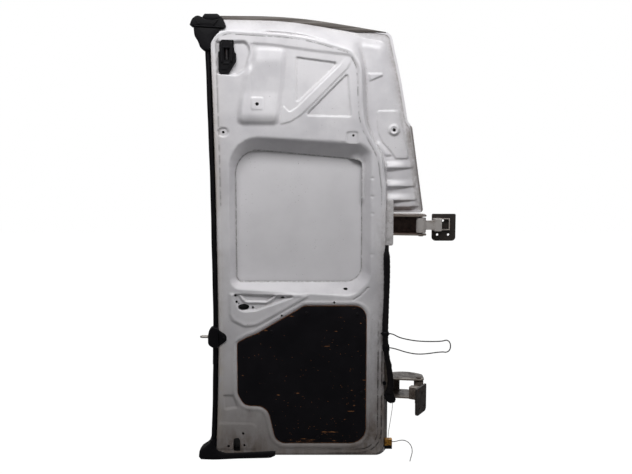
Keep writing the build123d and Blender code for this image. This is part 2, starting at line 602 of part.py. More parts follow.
def bracket(pin_z, foot, web_end):
    """The door's half of a hinge: a foot on the flank and an arched channel whose ears hold the pin."""
    root = flank_wall(FOOT_IN) + SEAT + FOOT_T
    ear_top = pin_z + EAR_GAP + EAR_T
    tip = (PIN_X + EAR_R, EAR_TIP)
    corner = (root, EAR_BACK)
    with BuildPart() as made:
        # Foot with rounded ends and edges, seated on the flank and over the wing
        seat = FLANK_LAND - SHEET
        face = raised(((seat, foot[0]), (root, foot[0]), (root, foot[1]), (seat, foot[1])), pin_z)
        extrude(outline(face, FOOT_ROUND, door_plane(FOOT_IN)), amount=FOOT_OUT - FOOT_IN)
        fillet(made.faces().sort_by(Axis.Y)[0].edges(), FOOT_ROUND / 3)
        wall_loft(TRAY_BASE, TRAY_LAND, TRAY_R, SKIN_IN, LAND + SEAT, SEAT, Mode.SUBTRACT)
        wing = outline(WING_BASE, WING_R, door_plane(SKIN_IN), HEM)
        extrude(wing, amount=WING_LAND + WING_RIB_H + SHEET - SKIN_IN, mode=Mode.SUBTRACT)
        # Back wall of the channel, bowed away from the viewer and stopped short of the pin
        with BuildSketch(level_plane(ear_top)):
            with BuildLine():
                ThreePointArc(corner, EAR_BELLY, tip)
                Line(tip, (tip[0], tip[1] + EAR_T))
                inner = (EAR_BELLY[0], EAR_BELLY[1] + EAR_T)
                ThreePointArc((tip[0], tip[1] + EAR_T), inner, (root, EAR_BACK + EAR_T))
                Line((root, EAR_BACK + EAR_T), corner)
            make_face()
            with Locations((web_end, EAR_BELLY[1])):
                Rectangle(PIN_X, PIN_X, align=(Align.MIN, Align.CENTER), mode=Mode.SUBTRACT)
        extrude(amount=2 * (EAR_GAP + EAR_T))
        for top in (ear_top, pin_z - EAR_GAP):
            with BuildSketch(level_plane(top)):
                with BuildLine():
                    ThreePointArc(corner, EAR_BELLY, tip)
                    Polyline(
                        tip, (tip[0], PIN_OUT), (PIN_X, PIN_OUT + EAR_R), (root - FOOT_ROUND, FOOT_OUT),
                        (root - FOOT_ROUND, FOOT_IN), (root, FOOT_IN), corner,
                    )
                make_face()
                with Locations((PIN_X, PIN_OUT)):
                    Circle(EAR_R)
                    Circle(PIN_R + PIN_FIT, mode=Mode.SUBTRACT)
            extrude(amount=EAR_T)
    return made


def pin(pin_z):
    """A hinge pin with a head at each end."""
    half = EAR_GAP + EAR_T
    with BuildPart() as made:
        for top, radius, length in (
            (half + PIN_HEAD_H, PIN_HEAD_R, PIN_HEAD_H), (half, PIN_R, 2 * half),
            (-half, PIN_HEAD_R, PIN_HEAD_H),
        ):
            with BuildSketch(level_plane(pin_z + top)):
                with Locations((PIN_X, PIN_OUT)):
                    Circle(radius)
            extrude(amount=length)
    return made


for place, pin_z, foot, web_end in (
    ("upper", UPPER_PIN_Z, UPPER_FOOT, UPPER_WEB_END),
    ("lower", LOWER_PIN_Z, LOWER_FOOT, LOWER_WEB_END),
):
    finish(bracket(pin_z, foot, web_end), f"{place}_hinge_bracket")
    finish(pin(pin_z), f"{place}_hinge_pin")


def leaf_directions(turn):
    """Along the leaf from the pin, and out from its mating face, for a leaf turned on its pin."""
    angle = math.radians(turn)
    along = Vector(math.cos(angle), math.sin(angle), 0)
    out = Vector(math.sin(angle), -math.cos(angle), 0)
    return along, out


def leaf_plate(pin_z, turn):
    """The plate that bolts to the body, with its three bolt holes."""
    along, out = leaf_directions(turn)
    seat = Plane(origin=door_point(PIN_X, pin_z, PIN_OUT) - out * PIN_OUT, x_dir=along, z_dir=out)
    plate = (
        (PLATE_NEAR, -PLATE_DOWN), (PLATE_FAR, -PLATE_DOWN), (PLATE_FAR, PLATE_UP), (PLATE_NEAR, PLATE_UP),
    )
    with BuildPart() as made:
        extrude(outline(plate, (PLATE_CORNER, PLATE_CORNER, 5, 5), seat), amount=PLATE_T)
        with BuildSketch(seat):
            with Locations(
                (BOLT_MID - BOLT_PAIR / 2, BOLT_LOW), (BOLT_MID + BOLT_PAIR / 2, BOLT_LOW),
                (BOLT_MID, BOLT_HIGH),
            ):
                Circle(BOLT_R)
        extrude(amount=PLATE_T, mode=Mode.SUBTRACT)
    return made


def leaf_arm(pin_z, turn):
    """The arm from the knuckle to the plate, with the open box round the upper bolt."""
    along, out = leaf_directions(turn)
    centre = door_point(PIN_X, pin_z, PIN_OUT)
    plate_front = PLATE_T - PIN_OUT

    def level(up):
        return Plane(origin=centre + Vector(0, 0, up), x_dir=along, z_dir=(0, 0, -1))

    with BuildPart() as made:
        with BuildSketch(level(NECK_H)):
            Polygon(
                (0, -NECK_T / 2), (BLOCK_FAR - 1, -NECK_T / 2), (BLOCK_FAR - 1, NECK_T / 2), (0, NECK_T / 2),
                align=None,
            )
        extrude(amount=2 * NECK_H)
        block = (
            (BLOCK_NEAR, plate_front), (BLOCK_FAR, plate_front), (BLOCK_FAR, NECK_T / 2 + SHEET),
            (BLOCK_NEAR, NECK_T / 2 + SHEET),
        )
        extrude(outline(block, (0, 0, BLOCK_ROUND, BLOCK_ROUND), level(BLOCK_H)), amount=2 * BLOCK_H)
        with BuildSketch(level(BLOCK_H)):
            Polygon(
                (BLOCK_FAR, plate_front), (BOX_FAR, plate_front), (BOX_FAR, plate_front + BOX_DEPTH),
                (BLOCK_FAR, plate_front + BOX_DEPTH), align=None,
            )
        extrude(amount=2 * BLOCK_H)
        with BuildSketch(level(BLOCK_H - BOX_WALL)):
            Polygon(
                (BLOCK_FAR, plate_front), (BOX_FAR - BOX_WALL, plate_front),
                (BOX_FAR - BOX_WALL, plate_front + BOX_DEPTH), (BLOCK_FAR, plate_front + BOX_DEPTH),
                align=None,
            )
        extrude(amount=2 * (BLOCK_H - BOX_WALL), mode=Mode.SUBTRACT)
        with BuildSketch(level(KNUCKLE_H)):
            Circle(KNUCKLE_R)
        extrude(amount=2 * KNUCKLE_H)
        with BuildSketch(level(KNUCKLE_H)):
            Circle(PIN_R + PIN_FIT)
        extrude(amount=2 * KNUCKLE_H, mode=Mode.SUBTRACT)
    return made


for place, pin_z, turn in (("upper", UPPER_PIN_Z, 0.0), ("lower", LOWER_PIN_Z, LEAF_TURN)):
    finish(leaf_plate(pin_z, turn), f"{place}_leaf_plate")
    finish(leaf_arm(pin_z, turn), f"{place}_leaf_arm")


def tube(route, radius):
    """A round wire or tube along straight runs joined by arcs."""
    points = [door_point(*point) for point in route]
    with BuildPart() as made:
        with BuildLine() as path:
            radii = [soft_radius(*corner) for corner in zip(points, points[1:], points[2:])]
            FilletPolyline(*points, radius=radii)
        with BuildSketch(Plane(origin=points[0], z_dir=points[1] - points[0])):
            Circle(radius)
        sweep(path=path.line)
    length = sum(edge.length for edge in path.line.edges())
    print("length along a route:", round(length, 1))
    return made


finish(tube(CONDUIT, CONDUIT_R), "cable_conduit")
finish(tube(WIRE_LOOP, WIRE_R), "wire_loop")

with BuildPart() as conduit_clamps:
    for middle, (low, high) in zip(CLAMPED, CLAMP_Z):
        with BuildSketch(level_plane(high)):
            with Locations((middle[0], middle[2])):
                Circle(CONDUIT_R + CLAMP_T)
        extrude(amount=high - low)
    add(tube(CONDUIT, CONDUIT_R + SEAT).part, mode=Mode.SUBTRACT)
    wall_loft(TRAY_BASE, TRAY_LAND, TRAY_R, SKIN_IN, LAND + SEAT, SEAT, Mode.SUBTRACT)
finish(conduit_clamps, "conduit_clamps")

with BuildPart() as conduit_end_boot:
    end_x, end_z, end_out = CONDUIT[-1]
    boot = [(end_x + across, end_z + up) for across, up in END_BOOT]
    extrude(outline(boot, END_BOOT_R, door_plane(end_out - CONDUIT_R)), amount=2 * CONDUIT_R)
    fillet(conduit_end_boot.faces().sort_by(Axis.Y)[0].edges(), END_BOOT_EDGE)
    add(tube(CONDUIT, CONDUIT_R + SEAT).part, mode=Mode.SUBTRACT)
finish(conduit_end_boot, "conduit_end_boot")

# Brass connector on a black base, against the flank near the bottom
connector_x = flank_wall(CONNECTOR_OUT[0]) + SEAT
for name, (low, high) in (("connector_shell", SHELL_Z), ("connector_base", BASE_Z)):
    with BuildPart() as block:
        face = (
            (connector_x, CONNECTOR_OUT[0]), (connector_x + CONNECTOR_W, CONNECTOR_OUT[0]),
            (connector_x + CONNECTOR_W, CONNECTOR_OUT[1]), (connector_x, CONNECTOR_OUT[1]),
        )
        extrude(outline(face, CONNECTOR_R, level_plane(high)), amount=high - low)
    finish(block, name)

feed_end = (connector_x + CONNECTOR_W / 2, SHELL_Z[1], (CONNECTOR_OUT[0] + CONNECTOR_OUT[1]) / 2)
boot_foot = (
    CONDUIT[-1][0] + (END_BOOT[4][0] + END_BOOT[5][0]) / 2,
    CONDUIT[-1][1] + (END_BOOT[4][1] + END_BOOT[5][1]) / 2 - SEAT, CONDUIT[-1][2],
)
FEED = (
    boot_foot, (boot_foot[0], boot_foot[1] - 20, boot_foot[2]), (738, LOWER_PIN_Z - 104, 71),
    (735, LOWER_PIN_Z - 134, 64), (731, LOWER_PIN_Z - 166, 58),
    (feed_end[0], feed_end[1] + 24, feed_end[2]), feed_end,
)
finish(tube(FEED, FEED_R), "lamp_feed_wire")

tail_start = connector_x + CONNECTOR_W
TAIL = (
    (tail_start, 76, 55), (tail_start + 14, 76, 55), (778, 83, 55), (798, 82, 55), (816, 71, 55),
    (828, 51, 55), (830, 28, 55), (824, 6, 55), (820, -11, 55),
)
finish(tube(TAIL, TAIL_R), "wire_tail")
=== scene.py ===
# %% Load the frame
import math

import bmesh
import bpy
import numpy as np
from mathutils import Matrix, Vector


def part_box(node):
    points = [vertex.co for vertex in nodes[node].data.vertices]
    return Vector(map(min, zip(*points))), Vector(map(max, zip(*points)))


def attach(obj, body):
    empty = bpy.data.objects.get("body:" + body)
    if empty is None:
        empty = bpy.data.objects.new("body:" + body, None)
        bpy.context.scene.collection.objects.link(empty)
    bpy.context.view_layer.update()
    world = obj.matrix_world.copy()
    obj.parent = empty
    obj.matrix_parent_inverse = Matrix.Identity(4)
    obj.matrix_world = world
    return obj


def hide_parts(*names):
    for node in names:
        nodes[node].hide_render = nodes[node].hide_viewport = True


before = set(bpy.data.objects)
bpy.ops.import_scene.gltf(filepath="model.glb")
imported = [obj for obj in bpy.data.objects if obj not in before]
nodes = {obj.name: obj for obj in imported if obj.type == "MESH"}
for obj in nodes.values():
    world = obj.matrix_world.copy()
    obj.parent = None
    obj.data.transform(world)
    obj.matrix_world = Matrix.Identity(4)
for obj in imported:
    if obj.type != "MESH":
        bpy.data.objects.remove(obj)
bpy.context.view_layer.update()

scene = bpy.context.scene

# %% [markdown]
# # Dressing the rear door of a van
#
# The object is one leaf of a pair of rear doors, standing open so that its inside faces us. The solids are
# already there. What they lack is what a press, a paint shop and years of use gave the real door: rounded folds,
# rubber that bulges, paint that greys towards the bottom, rust on the hinges. Part of that greying is painted
# shade. Each step below adds one of these.
#
# A door is easiest to describe from its own corner: across from the free edge, up from the bottom, and out
# towards us, in millimetres. One function turns that into the metres of the shared frame.

# %% Door millimetres to frame metres
SKIN_OVERHANG = 14.0
DOOR_H = 1850.0
skin_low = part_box("outer_skin")[0]
FREE_EDGE = 1000 * skin_low.x + SKIN_OVERHANG
BOTTOM = 1000 * skin_low.z


def place(across, up, out):
    """Frame point in metres: x is the free edge plus across, z the bottom plus up, y is minus out."""
    across, up, out = np.broadcast_arrays(*(np.asarray(v, float) for v in (across, up, out)))
    return np.stack([FREE_EDGE + across, -out, BOTTOM + up], -1) / 1000


def add(name, data):
    """A new object in the scene that shows this data."""
    made = bpy.data.objects.new(name, data)
    scene.collection.objects.link(made)
    return made


print("free edge at x", round(FREE_EDGE), "mm, bottom at z", round(BOTTOM), "mm")

# %% [markdown]
# ## Camera and light
#
# The photograph was taken from a little above the door's middle, about three metres away. A long door under a
# ceiling light fades towards its foot, so the main lamp hangs high and near, and falls off by itself. The
# alternative, painting that fade into the materials, would be wrong as soon as the door is turned; still, the
# panel's darkening towards its foot, further down, paints part of that fade in as shade.

# %% Camera at the photograph's angle
CAMERA_AT = (-0.5305, -3.2788, 0.3316)
LOOKS_DOWN = 6.5  # degrees
SENSOR_WIDTH, LENS = 36.0, 44.77  # millimetres
camera = add("camera", bpy.data.cameras.new("camera"))
camera.data.sensor_width, camera.data.lens = SENSOR_WIDTH, LENS
camera.location = CAMERA_AT
camera.rotation_euler = (math.radians(90 - LOOKS_DOWN), 0, 0)
scene.camera = camera
scene.view_settings.view_transform = "Standard"
print("camera at", CAMERA_AT)


# %% Soft lamps
def lamp(name, location, target, size, power):
    """A rectangular soft box at a point, turned towards a target, with its size in metres and power in watts."""
    light = bpy.data.lights.new(name, "AREA")
    light.shape = "RECTANGLE"
    light.size, light.size_y = size
    light.energy = power
    made = add(name, light)
    made.location = location
    aim = np.subtract(target, location)
    made.rotation_euler = (math.acos(-aim[2] / np.linalg.norm(aim)), 0, math.atan2(-aim[0], aim[1]))
    print("lamp", name, power, "W")


lamp("ceiling", (-0.6, -1.3, 1.9), (-0.55, 0, 0.45), (2.4, 0.7), 45)
lamp("front_fill", (-0.7, -3.4, 1.4), (-0.5, 0, 0.3), (2.2, 1.4), 5)
lamp("right_fill", (2.3, -0.9, 1.0), (-0.3, 0, 0.5), (1.0, 1.4), 8)
lamp("back_fill", (-0.5, 3.2, 1.6), (-0.5, 0, 0.2), (2.4, 1.4), 42)

# %% [markdown]
# ## Finishes as expressions
#
# A shader is arithmetic on pictures that do not exist yet: noise times a mask plus a colour. Clicking that
# together with single Math nodes hides the thought, so one small class lets an output be added, multiplied
# and compared like a number, and a second one holds the material and adds any other node.

# %% A socket that can be calculated with
class Socket:
    """One output of a shader node; arithmetic on it adds the Math nodes that work it out."""

    def __init__(self, tree, output):
        self.tree, self.output = tree, output

    def put(self, slot, value):
        """Link another socket into a slot, or set a plain value there."""
        if isinstance(value, Socket):
            self.tree.links.new(value.output, slot)
        else:
            slot.default_value = value

    def math(self, operation, *terms):
        """A Math node on these terms."""
        made = self.tree.nodes.new("ShaderNodeMath")
        made.operation = operation
        for slot, term in zip(made.inputs, terms):
            self.put(slot, term)
        return Socket(self.tree, made.outputs[0])

    def __add__(self, other):
        return self.math("ADD", self, other)

    def __sub__(self, other):
        return self.math("SUBTRACT", self, other)

    def __rsub__(self, other):
        return self.math("SUBTRACT", other, self)

    def __mul__(self, other):
        return self.math("MULTIPLY", self, other)

    def __gt__(self, other):
        return self.math("GREATER_THAN", self, other)

    def __lt__(self, other):
        return self.math("LESS_THAN", self, other)

    __radd__ = __add__
    __rmul__ = __mul__


# %% A finish, with one method that adds any node
def tone(red, green, blue):
    """A colour as it reads on screen, 0 to 255, turned into the linear light that a shader works in."""
    level = np.array([red, green, blue]) / 255
    linear = np.where(level <= 0.04045, level / 12.92, ((level + 0.055) / 1.055) ** 2.4)
    return (*linear.tolist(), 1.0)


class Finish:
    """A material being mixed: a Principled shader, object coordinates, and a method for any node."""

    def __init__(self, name, **constants):
        self.material = bpy.data.materials.new(name)
        self.material.use_nodes = True
        self.tree = self.material.node_tree
        self.shader = self.tree.nodes["Principled BSDF"]
        self.where = self.node("TexCoord", output="Object")
        for socket, value in constants.items():
            self.feed(socket.replace("_", " "), value)

    def node(self, kind, settings=(), sockets=(), output=0):
        """Any node: its settings first, then the values or links of its sockets."""
        made = self.tree.nodes.new("ShaderNode" + kind)
        result = Socket(self.tree, made.outputs[output])
        for key, value in dict(settings).items():
            setattr(made, key, value)
        for key, value in dict(sockets).items():
            result.put(made.inputs[key], value)
        return result

    def noise(self, scale, detail=4.0, rough=0.55, stretch=(1, 1, 1)):
        """Cloudy noise from 0 to 1 on the object's own coordinates, stretched along its axes."""
        where = self.node("Mapping", {}, {"Vector": self.where, "Scale": stretch})
        sockets = {"Vector": where, "Scale": scale, "Detail": detail, "Roughness": rough}
        return self.node("TexNoise", {}, sockets)

    def soft(self, value, low, high):
        """0 below low, 1 above high, and a smooth step between."""
        sockets = {"Value": value, "From Min": low, "From Max": high}
        return self.node("MapRange", {"interpolation_type": "SMOOTHSTEP"}, sockets)

    def mix(self, under, over, amount):
        """One colour over another."""
        return self.node("Mix", {"data_type": "RGBA"}, {0: amount, 6: under, 7: over}, output=2)

    def between(self, one, other, value, low, high):
        """A colour that goes from one to another while a value rises from low to high."""
        return self.mix(one, other, self.soft(value, low, high))

    def axis(self, name):
        """One of the object's own coordinates, in metres."""
        return self.node("SeparateXYZ", {}, {0: self.where}, output=name)

    def painted(self, name):
        """A number that was worked out for each vertex of the piece."""
        return self.node("Attribute", {"attribute_name": name}, output="Fac")

    def feed(self, slot, value):
        """Set or link one input of the shader."""
        self.where.put(self.shader.inputs[slot], value)
        return self

    def colour(self, value):
        return self.feed("Base Color", value)

    def rough(self, value):
        return self.feed("Roughness", value)

    def bumps(self, height, distance, strength=1.0):
        """A height from 0 to 1 as bumps of that many metres."""
        sockets = {"Height": height, "Distance": distance, "Strength": strength}
        return self.feed("Normal", self.node("Bump", {}, sockets))


# %% [markdown]
# ## Floor and backdrop
#
# The photograph is cut out on white. A floor that is white to the camera and a world that is white behind it
# give that background without more light on the door.

# %% White surroundings
WORLD_LIGHT, GLOSSY_LIGHT = 0.055, 0.25
world = bpy.data.worlds.new("studio")
scene.world = world
world.use_nodes = True
sky = world.node_tree
rays = sky.nodes.new("ShaderNodeLightPath").outputs
seen = Socket(sky, rays["Is Camera Ray"]) + Socket(sky, rays["Is Transmission Ray"])
shine = Socket(sky, rays["Is Glossy Ray"])
strength = WORLD_LIGHT + seen * (1 - WORLD_LIGHT) + shine * (GLOSSY_LIGHT - WORLD_LIGHT)
strength.put(sky.nodes["Background"].inputs["Strength"], strength)
sky.nodes["Background"].inputs["Color"].default_value = (1, 1, 1, 1)
print("the world gives", WORLD_LIGHT, "of the light that the camera sees")

# %% A floor that the camera sees as white
FLOOR_Z, FLOOR_SPAN = -1.004, 9.0
FLOOR_GREYS = (0.36, 0.36, 0.36, 1), (0.42, 0.42, 0.42, 1)
GLOW, GLOW_SHARE = 1.09, 0.93
floor_paint = Finish("floor_white", Roughness=0.9)
floor_paint.colour(floor_paint.mix(*FLOOR_GREYS, floor_paint.noise(3.0)))
to_camera = floor_paint.node("LightPath", output="Is Camera Ray")
glow = floor_paint.node("Emission", {}, {"Strength": GLOW})
plain = Socket(floor_paint.tree, floor_paint.shader.outputs[0])
blend = floor_paint.node("MixShader", {}, {0: to_camera * GLOW_SHARE, 1: plain, 2: glow})
blend.put(floor_paint.tree.nodes["Material Output"].inputs["Surface"], blend)
floor_mesh = bpy.data.meshes.new("floor")
corners = [(FLOOR_SPAN * x, FLOOR_SPAN * y, FLOOR_Z) for x, y in ((-1, -1), (1, -1), (1, 1), (-1, 1))]
floor_mesh.from_pydata(corners, [], [(0, 1, 2, 3)])
floor_mesh.materials.append(floor_paint.material)
floor = add("floor", floor_mesh)
print("floor at", FLOOR_Z)

# %% [markdown]
# ## Wires
#
# Three thin wires show at the hinge side: a loop of stiff wire whose ends are taped to the conduit, the feed that
# comes out of the conduit's end, and the tail that hangs from the connector. A smooth spline led by control
# points has the shape that a wire takes, so each one is a curve with a round section.

# %% Wire finish
def wire_finish(name, dark, light):
    """A dull coated wire, speckled between two greys."""
    made = Finish(name)
    speck = made.noise(220.0)
    made.colour(made.between(dark, light, speck, 0.35, 0.75))
    return made.rough(0.4 + 0.25 * speck)


wire_grey = wire_finish("wire_grey", tone(18, 17, 19), tone(46, 44, 46))
feed_grey = wire_finish("feed_grey", tone(104, 102, 102), tone(168, 166, 165))

# %% The routes, across, up and, where it changes, out
LOOP_OUT, TAIL_OUT = 81.3, 55.0
WIRE_LOOP_ROUTE = [
    (719.3, 552), (738, 551), (762, 536), (800, 526), (855, 518), (943, 518), (964, 526), (979, 512),
    (979, 484), (964, 471), (943, 475), (856, 462), (800, 470), (742, 490), (722.3, 492),
]
FEED_ROUTE = [
    (741, 253.7, 75.3), (741, 233.7, 75.3), (738, 208, 71), (735, 178, 64), (731, 146, 58), (726.05, 113, 55),
    (726.05, 89, 55),
]
TAIL_ROUTE = [
    (742.05, 76), (756.05, 76), (778, 83), (798, 82), (816, 71), (828, 51), (830, 28), (824, 6), (820, -11),
]


def spline(name, points, diameter=0.0):
    """A NURBS curve of order 3 that starts and ends on its first and last control points."""
    curve = bpy.data.curves.new(name, "CURVE")
    curve.dimensions = "3D"
    line = curve.splines.new("NURBS")
    line.points.add(len(points) - 1)
    line.points.foreach_set("co", np.c_[points, np.ones(len(points))].ravel())
    line.order_u = 3
    line.use_endpoint_u = True
    curve.resolution_u = 10
    curve.bevel_depth = diameter / 2
    curve.bevel_resolution = 3
    curve.use_fill_caps = True
    return add(name, curve)


def dress(piece, finish, replaces=()):
    """Give a piece its finish, let it ride on the door, and hide the solids that it stands for."""
    piece.data.materials.append(finish.material)
    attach(piece, "door")
    if replaces:
        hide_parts(*replaces)
    return piece


# %% Loop, feed and tail
loop_points = place(*np.array(WIRE_LOOP_ROUTE).T, LOOP_OUT)
dress(spline("stiff_wire_loop", loop_points, 0.0048), wire_grey, ["wire_loop"])

feed_points = place(*np.array(FEED_ROUTE).T)
feed = dress(spline("feed_wire", feed_points, 0.0022), feed_grey, ["lamp_feed_wire"])
tail_points = place(*np.array(TAIL_ROUTE).T, TAIL_OUT)
tail = dress(spline("tail_wire", tail_points, 0.0032), wire_grey, ["wire_tail"])
print("wires:", len(loop_points), len(feed_points), len(tail_points), "control points")

# %% [markdown]
# ## From arrays to meshes
#
# Every other new piece is a surface worked out with arrays. It needs only two helpers: one numbers the quads
# of a grid of points, the other turns points and quads into a smooth, welded mesh with its finish. Two more build
# on them: one joins rings of points, the other closes a profile that is carried along a path.

# %% Grid quads and pieces
WELD = 2e-6  # metres


def grid_quads(rows, columns, wrap=False):
    """Corner numbers of a grid's quads, row by row; wrap joins the last column to the first."""
    row, column = np.meshgrid(np.arange(rows - 1), np.arange(columns - (not wrap)), indexing="ij")
    after = (column + 1) % columns
    low, high = row * columns, (row + 1) * columns
    return np.stack([low + column, low + after, high + after, high + column], -1).reshape(-1, 4)


def make_piece(name, points, quads, finish, slot, replaces=(), numbers=(), sharp=40.0, closed=True):
    """A mesh from points and quads, its doubles welded, smooth up to a sharp angle, with numbers per vertex."""
    mesh = bpy.data.meshes.new(name)
    points = np.asarray(points, float).reshape(-1, 3)
    mesh.vertices.add(len(points))
    mesh.vertices.foreach_set("co", points.ravel())
    mesh.loops.add(quads.size)
    mesh.loops.foreach_set("vertex_index", quads.ravel().astype(np.int32))
    mesh.polygons.add(len(quads))
    mesh.polygons.foreach_set("loop_start", np.arange(0, quads.size, 4, dtype=np.int32))
    for label, values in dict(numbers).items():
        mesh.attributes.new(label, "FLOAT", "POINT").data.foreach_set("value", np.ravel(values))
    mesh.update(calc_edges=True)
    work = bmesh.new()
    work.from_mesh(mesh)
    bmesh.ops.remove_doubles(work, verts=work.verts, dist=WELD)
    if closed:
        bmesh.ops.recalc_face_normals(work, faces=work.faces)
    work.to_mesh(mesh)
    work.free()
    mesh.shade_smooth()
    mesh.set_sharp_from_angle(angle=math.radians(sharp))
    print(name, len(mesh.vertices), "vertices")
    return dress(add(name, mesh), finish, replaces)


def ring_piece(name, rings, *looks, **options):
    """Rings of points, each joined to the next; looks are the finish, the slot, which is not used, and the solids
    replaced.
    """
    return make_piece(name, rings, grid_quads(*rings.shape[:2], wrap=True), *looks, **options)


def carried(name, sections, *looks, **options):
    """A closed profile carried along a path: rings of points, closed by a point at each end."""
    ends = sections.mean(1, keepdims=True).repeat(sections.shape[1], 1)
    return ring_piece(name, np.concatenate([ends[:1], sections, ends[-1:]]), *looks, **options)


# %% [markdown]
# ## The inner panel
#
# This is the piece that makes the door. On the real one a press draws a single steel sheet over a die, so every
# pocket, pad and cove is the same sheet at another height, and every edge is a radius. A height over a grid is
# therefore the natural way to make it: start with the flat flange, raise the tray and the wing, and press each
# feature in with a smooth minimum or maximum, whose blend width is the radius of the die.
#
# Each feature is drawn as a few corners with rounding. Its distance field tells how far inside the outline a
# point lies, and that distance drives the wall.

# %% Outlines and the distance into them
LONGEST_ROUNDING = 0.45  # of the shorter side at a corner


def rounded(corners, radii, steps=7):
    """A loop of corners, each turned into an arc: a parabola between the arc's ends whose middle point carries
    the weight, the cosine of half the turn, that makes it a circle."""
    corner = np.array(corners, float)
    radius = np.broadcast_to(np.asarray(radii, float), len(corner))
    back, ahead = np.roll(corner, 1, 0) - corner, np.roll(corner, -1, 0) - corner
    back_run, ahead_run = np.linalg.norm(back, axis=1), np.linalg.norm(ahead, axis=1)
    back, ahead = back / back_run[:, None], ahead / ahead_run[:, None]
    turn = np.pi - np.arccos(np.clip((back * ahead).sum(1), -1, 1))
    longest = LONGEST_ROUNDING * np.minimum(back_run, ahead_run)
    reach = np.minimum(radius * np.tan(turn / 2), longest)[:, None, None]
    t = np.linspace(0, 1, steps)[None, :, None]
    start, end = corner[:, None] + reach * back[:, None], corner[:, None] + reach * ahead[:, None]
    pull = 2 * t * (1 - t) * np.cos(turn / 2)[:, None, None]
    total = (1 - t) ** 2 + pull + t**2
    return (((1 - t) ** 2 * start + pull * corner[:, None] + t**2 * end) / total).reshape(-1, 2)


def nearest_side(loop, at):
    """How deep points lie inside a loop, and the nearest points of the loop: each side's foot point is clamped
    to its ends, and the sign turns at every side that a level line from the point crosses."""
    across, up = at
    best = np.full(np.shape(across), np.inf)
    foot_across, foot_up = np.zeros_like(best), np.zeros_like(best)
    inside = np.zeros(best.shape, bool)
    for (ax, az), (bx, bz) in zip(loop, np.roll(loop, -1, 0)):
        dx, dz = bx - ax, bz - az
        if dx == dz == 0:
            continue
        t = np.clip(((across - ax) * dx + (up - az) * dz) / (dx * dx + dz * dz), 0, 1)
        far = (across - ax - t * dx) ** 2 + (up - az - t * dz) ** 2
        closer = far < best
        best = np.where(closer, far, best)
        foot_across = np.where(closer, ax + t * dx, foot_across)
        foot_up = np.where(closer, az + t * dz, foot_up)
        if dz:
            inside ^= ((az > up) != (bz > up)) & (across < ax + dx * (up - az) / dz)
    return np.where(inside, 1, -1) * np.sqrt(best), foot_across, foot_up


def depth(loop, at):
    """How many millimetres points lie inside a loop, negative outside."""
    return nearest_side(loop, at)[0]


# %% The outlines of skin, tray, wing, window and board
FLANK, WING_FOOT, SILL = 725.0, 1050.0, 735.0
HEAD = WING_FOOT + 312.0
LAND, WING_LAND, FLANGE = 72.0, 28.0, 10.0
skin_loop = rounded(
    [(-SKIN_OVERHANG, 0), (FLANK, 0), (FLANK, WING_FOOT), (867, WING_FOOT), (816, 1401), (797, 1427), (766, 1604),
     (FLANK - 1, DOOR_H - 68), (330, 1846), (-SKIN_OVERHANG, DOOR_H)],
    (6, 50, 4, 14, 20, 20, 3000, 34, 2200, 6), steps=9,
)
tray_base = rounded(
    [(2, 11), (714, 11), (714, 1160), (709, 1268), (636, 1402), (626, 1650), (606, 1770), (330, 1832), (2, 1838)],
    (12, 42, 60, 200, 200, 120, 45, 1400, 60),
)
tray_land = rounded(
    [(14, 24), (706, 24), (706, 1150), (690, 1282), (613, 1420), (603, 1640), (568, 1712), (360, 1772),
     (14, 1792)],
    (12, 42, 60, 200, 200, 120, 60, 900, 60),
)
WING_RADII = (20, 20, 14, 20, 30, 300, 40, 20)
wing_base = rounded(
    [(560, 1100), (690, 1061), (853, 1061), (802, 1396), (782, 1428), (752, 1600), (698, 1748), (540, 1770)],
    WING_RADII,
)
wing_top = rounded(
    [(580, 1120), (700, 1070), (822, 1070), (774, 1389), (760, 1420), (730, 1596), (674, 1726), (555, 1742)],
    WING_RADII,
)
cove_land = rounded(
    [(66, SILL + 5), (575, SILL - 28), (645, SILL + 42), (645, HEAD - 57), (600, HEAD - 26), (66, HEAD + 5)],
    (40, 70, 70, 40, 50, 118),
)
cove_hole = rounded(
    [(88, SILL + 26), (608, SILL + 26), (608, HEAD - 104), (590, HEAD - 92), (88, HEAD - 46)],
    (22, 62, 14, 30, 92),
)
board_loop = rounded(
    [(90, 510), (130, 532), (175, 550), (371, 667), (630, 667), (630, 76), (250, 76), (215, 236), (118, 240),
     (90, 290)],
    (20, 40, 40, 40, 52, 66, 50, 60, 40, 40),
)
print("the skin's outline has", len(skin_loop), "points, the tray's", len(tray_base))


# %% Outlines above the window
def above_window(percent):
    """A height above the window, as a share of what lies between it and the top."""
    return HEAD + (DOOR_H - HEAD) * percent / 100


upper_field = rounded(
    [(150, 1420), (600, 1420), (602, 1640), (560, 1694), (408, 1712), (246, 1734), (150, 1742)],
    (20, 30, 60, 30, 90, 90, 20),
)
upper_triangle = rounded([(336, above_window(66)), (516, above_window(61)), (336, above_window(26))], 10)
lower_triangle = rounded([(550, above_window(54)), (566, above_window(16)), (368, above_window(17))], 10)
brace_loop = rounded(
    [(272, 1409), (318, 1420), (364, 1450), (548, 1632), (572, 1680), (540, 1690), (512, 1650), (341, 1484),
     (313, 1464), (286, 1494)],
    (6, 30, 40, 60, 20, 20, 60, 20, 10, 6),
)
spine_loop = rounded(
    [(92, 1400), (272, 1400), (286, 1530), (296, 1560), (304, 1726), (168, 1732), (158, 1660), (126, 1614),
     (108, 1530)],
    (34, 34, 40, 40, 30, 30, 40, 40, 60),
)
anchor_plate = rounded([(157, 1468), (209, 1468), (209, 1522), (157, 1522)], 8)
corner_dish = rounded([(540, 1336), (594, 1332), (594, 1386), (540, 1386)], 14)
LATCH_UP = DOOR_H - 170.0
latch_pocket = rounded(
    np.add([(28, -70), (104, -78), (142, -52), (164, 18), (148, 68), (28, 66)], (0, LATCH_UP)),
    (10, 30, 50, 60, 30, 10),
)
print("the latch pocket's middle is", LATCH_UP, "mm up")

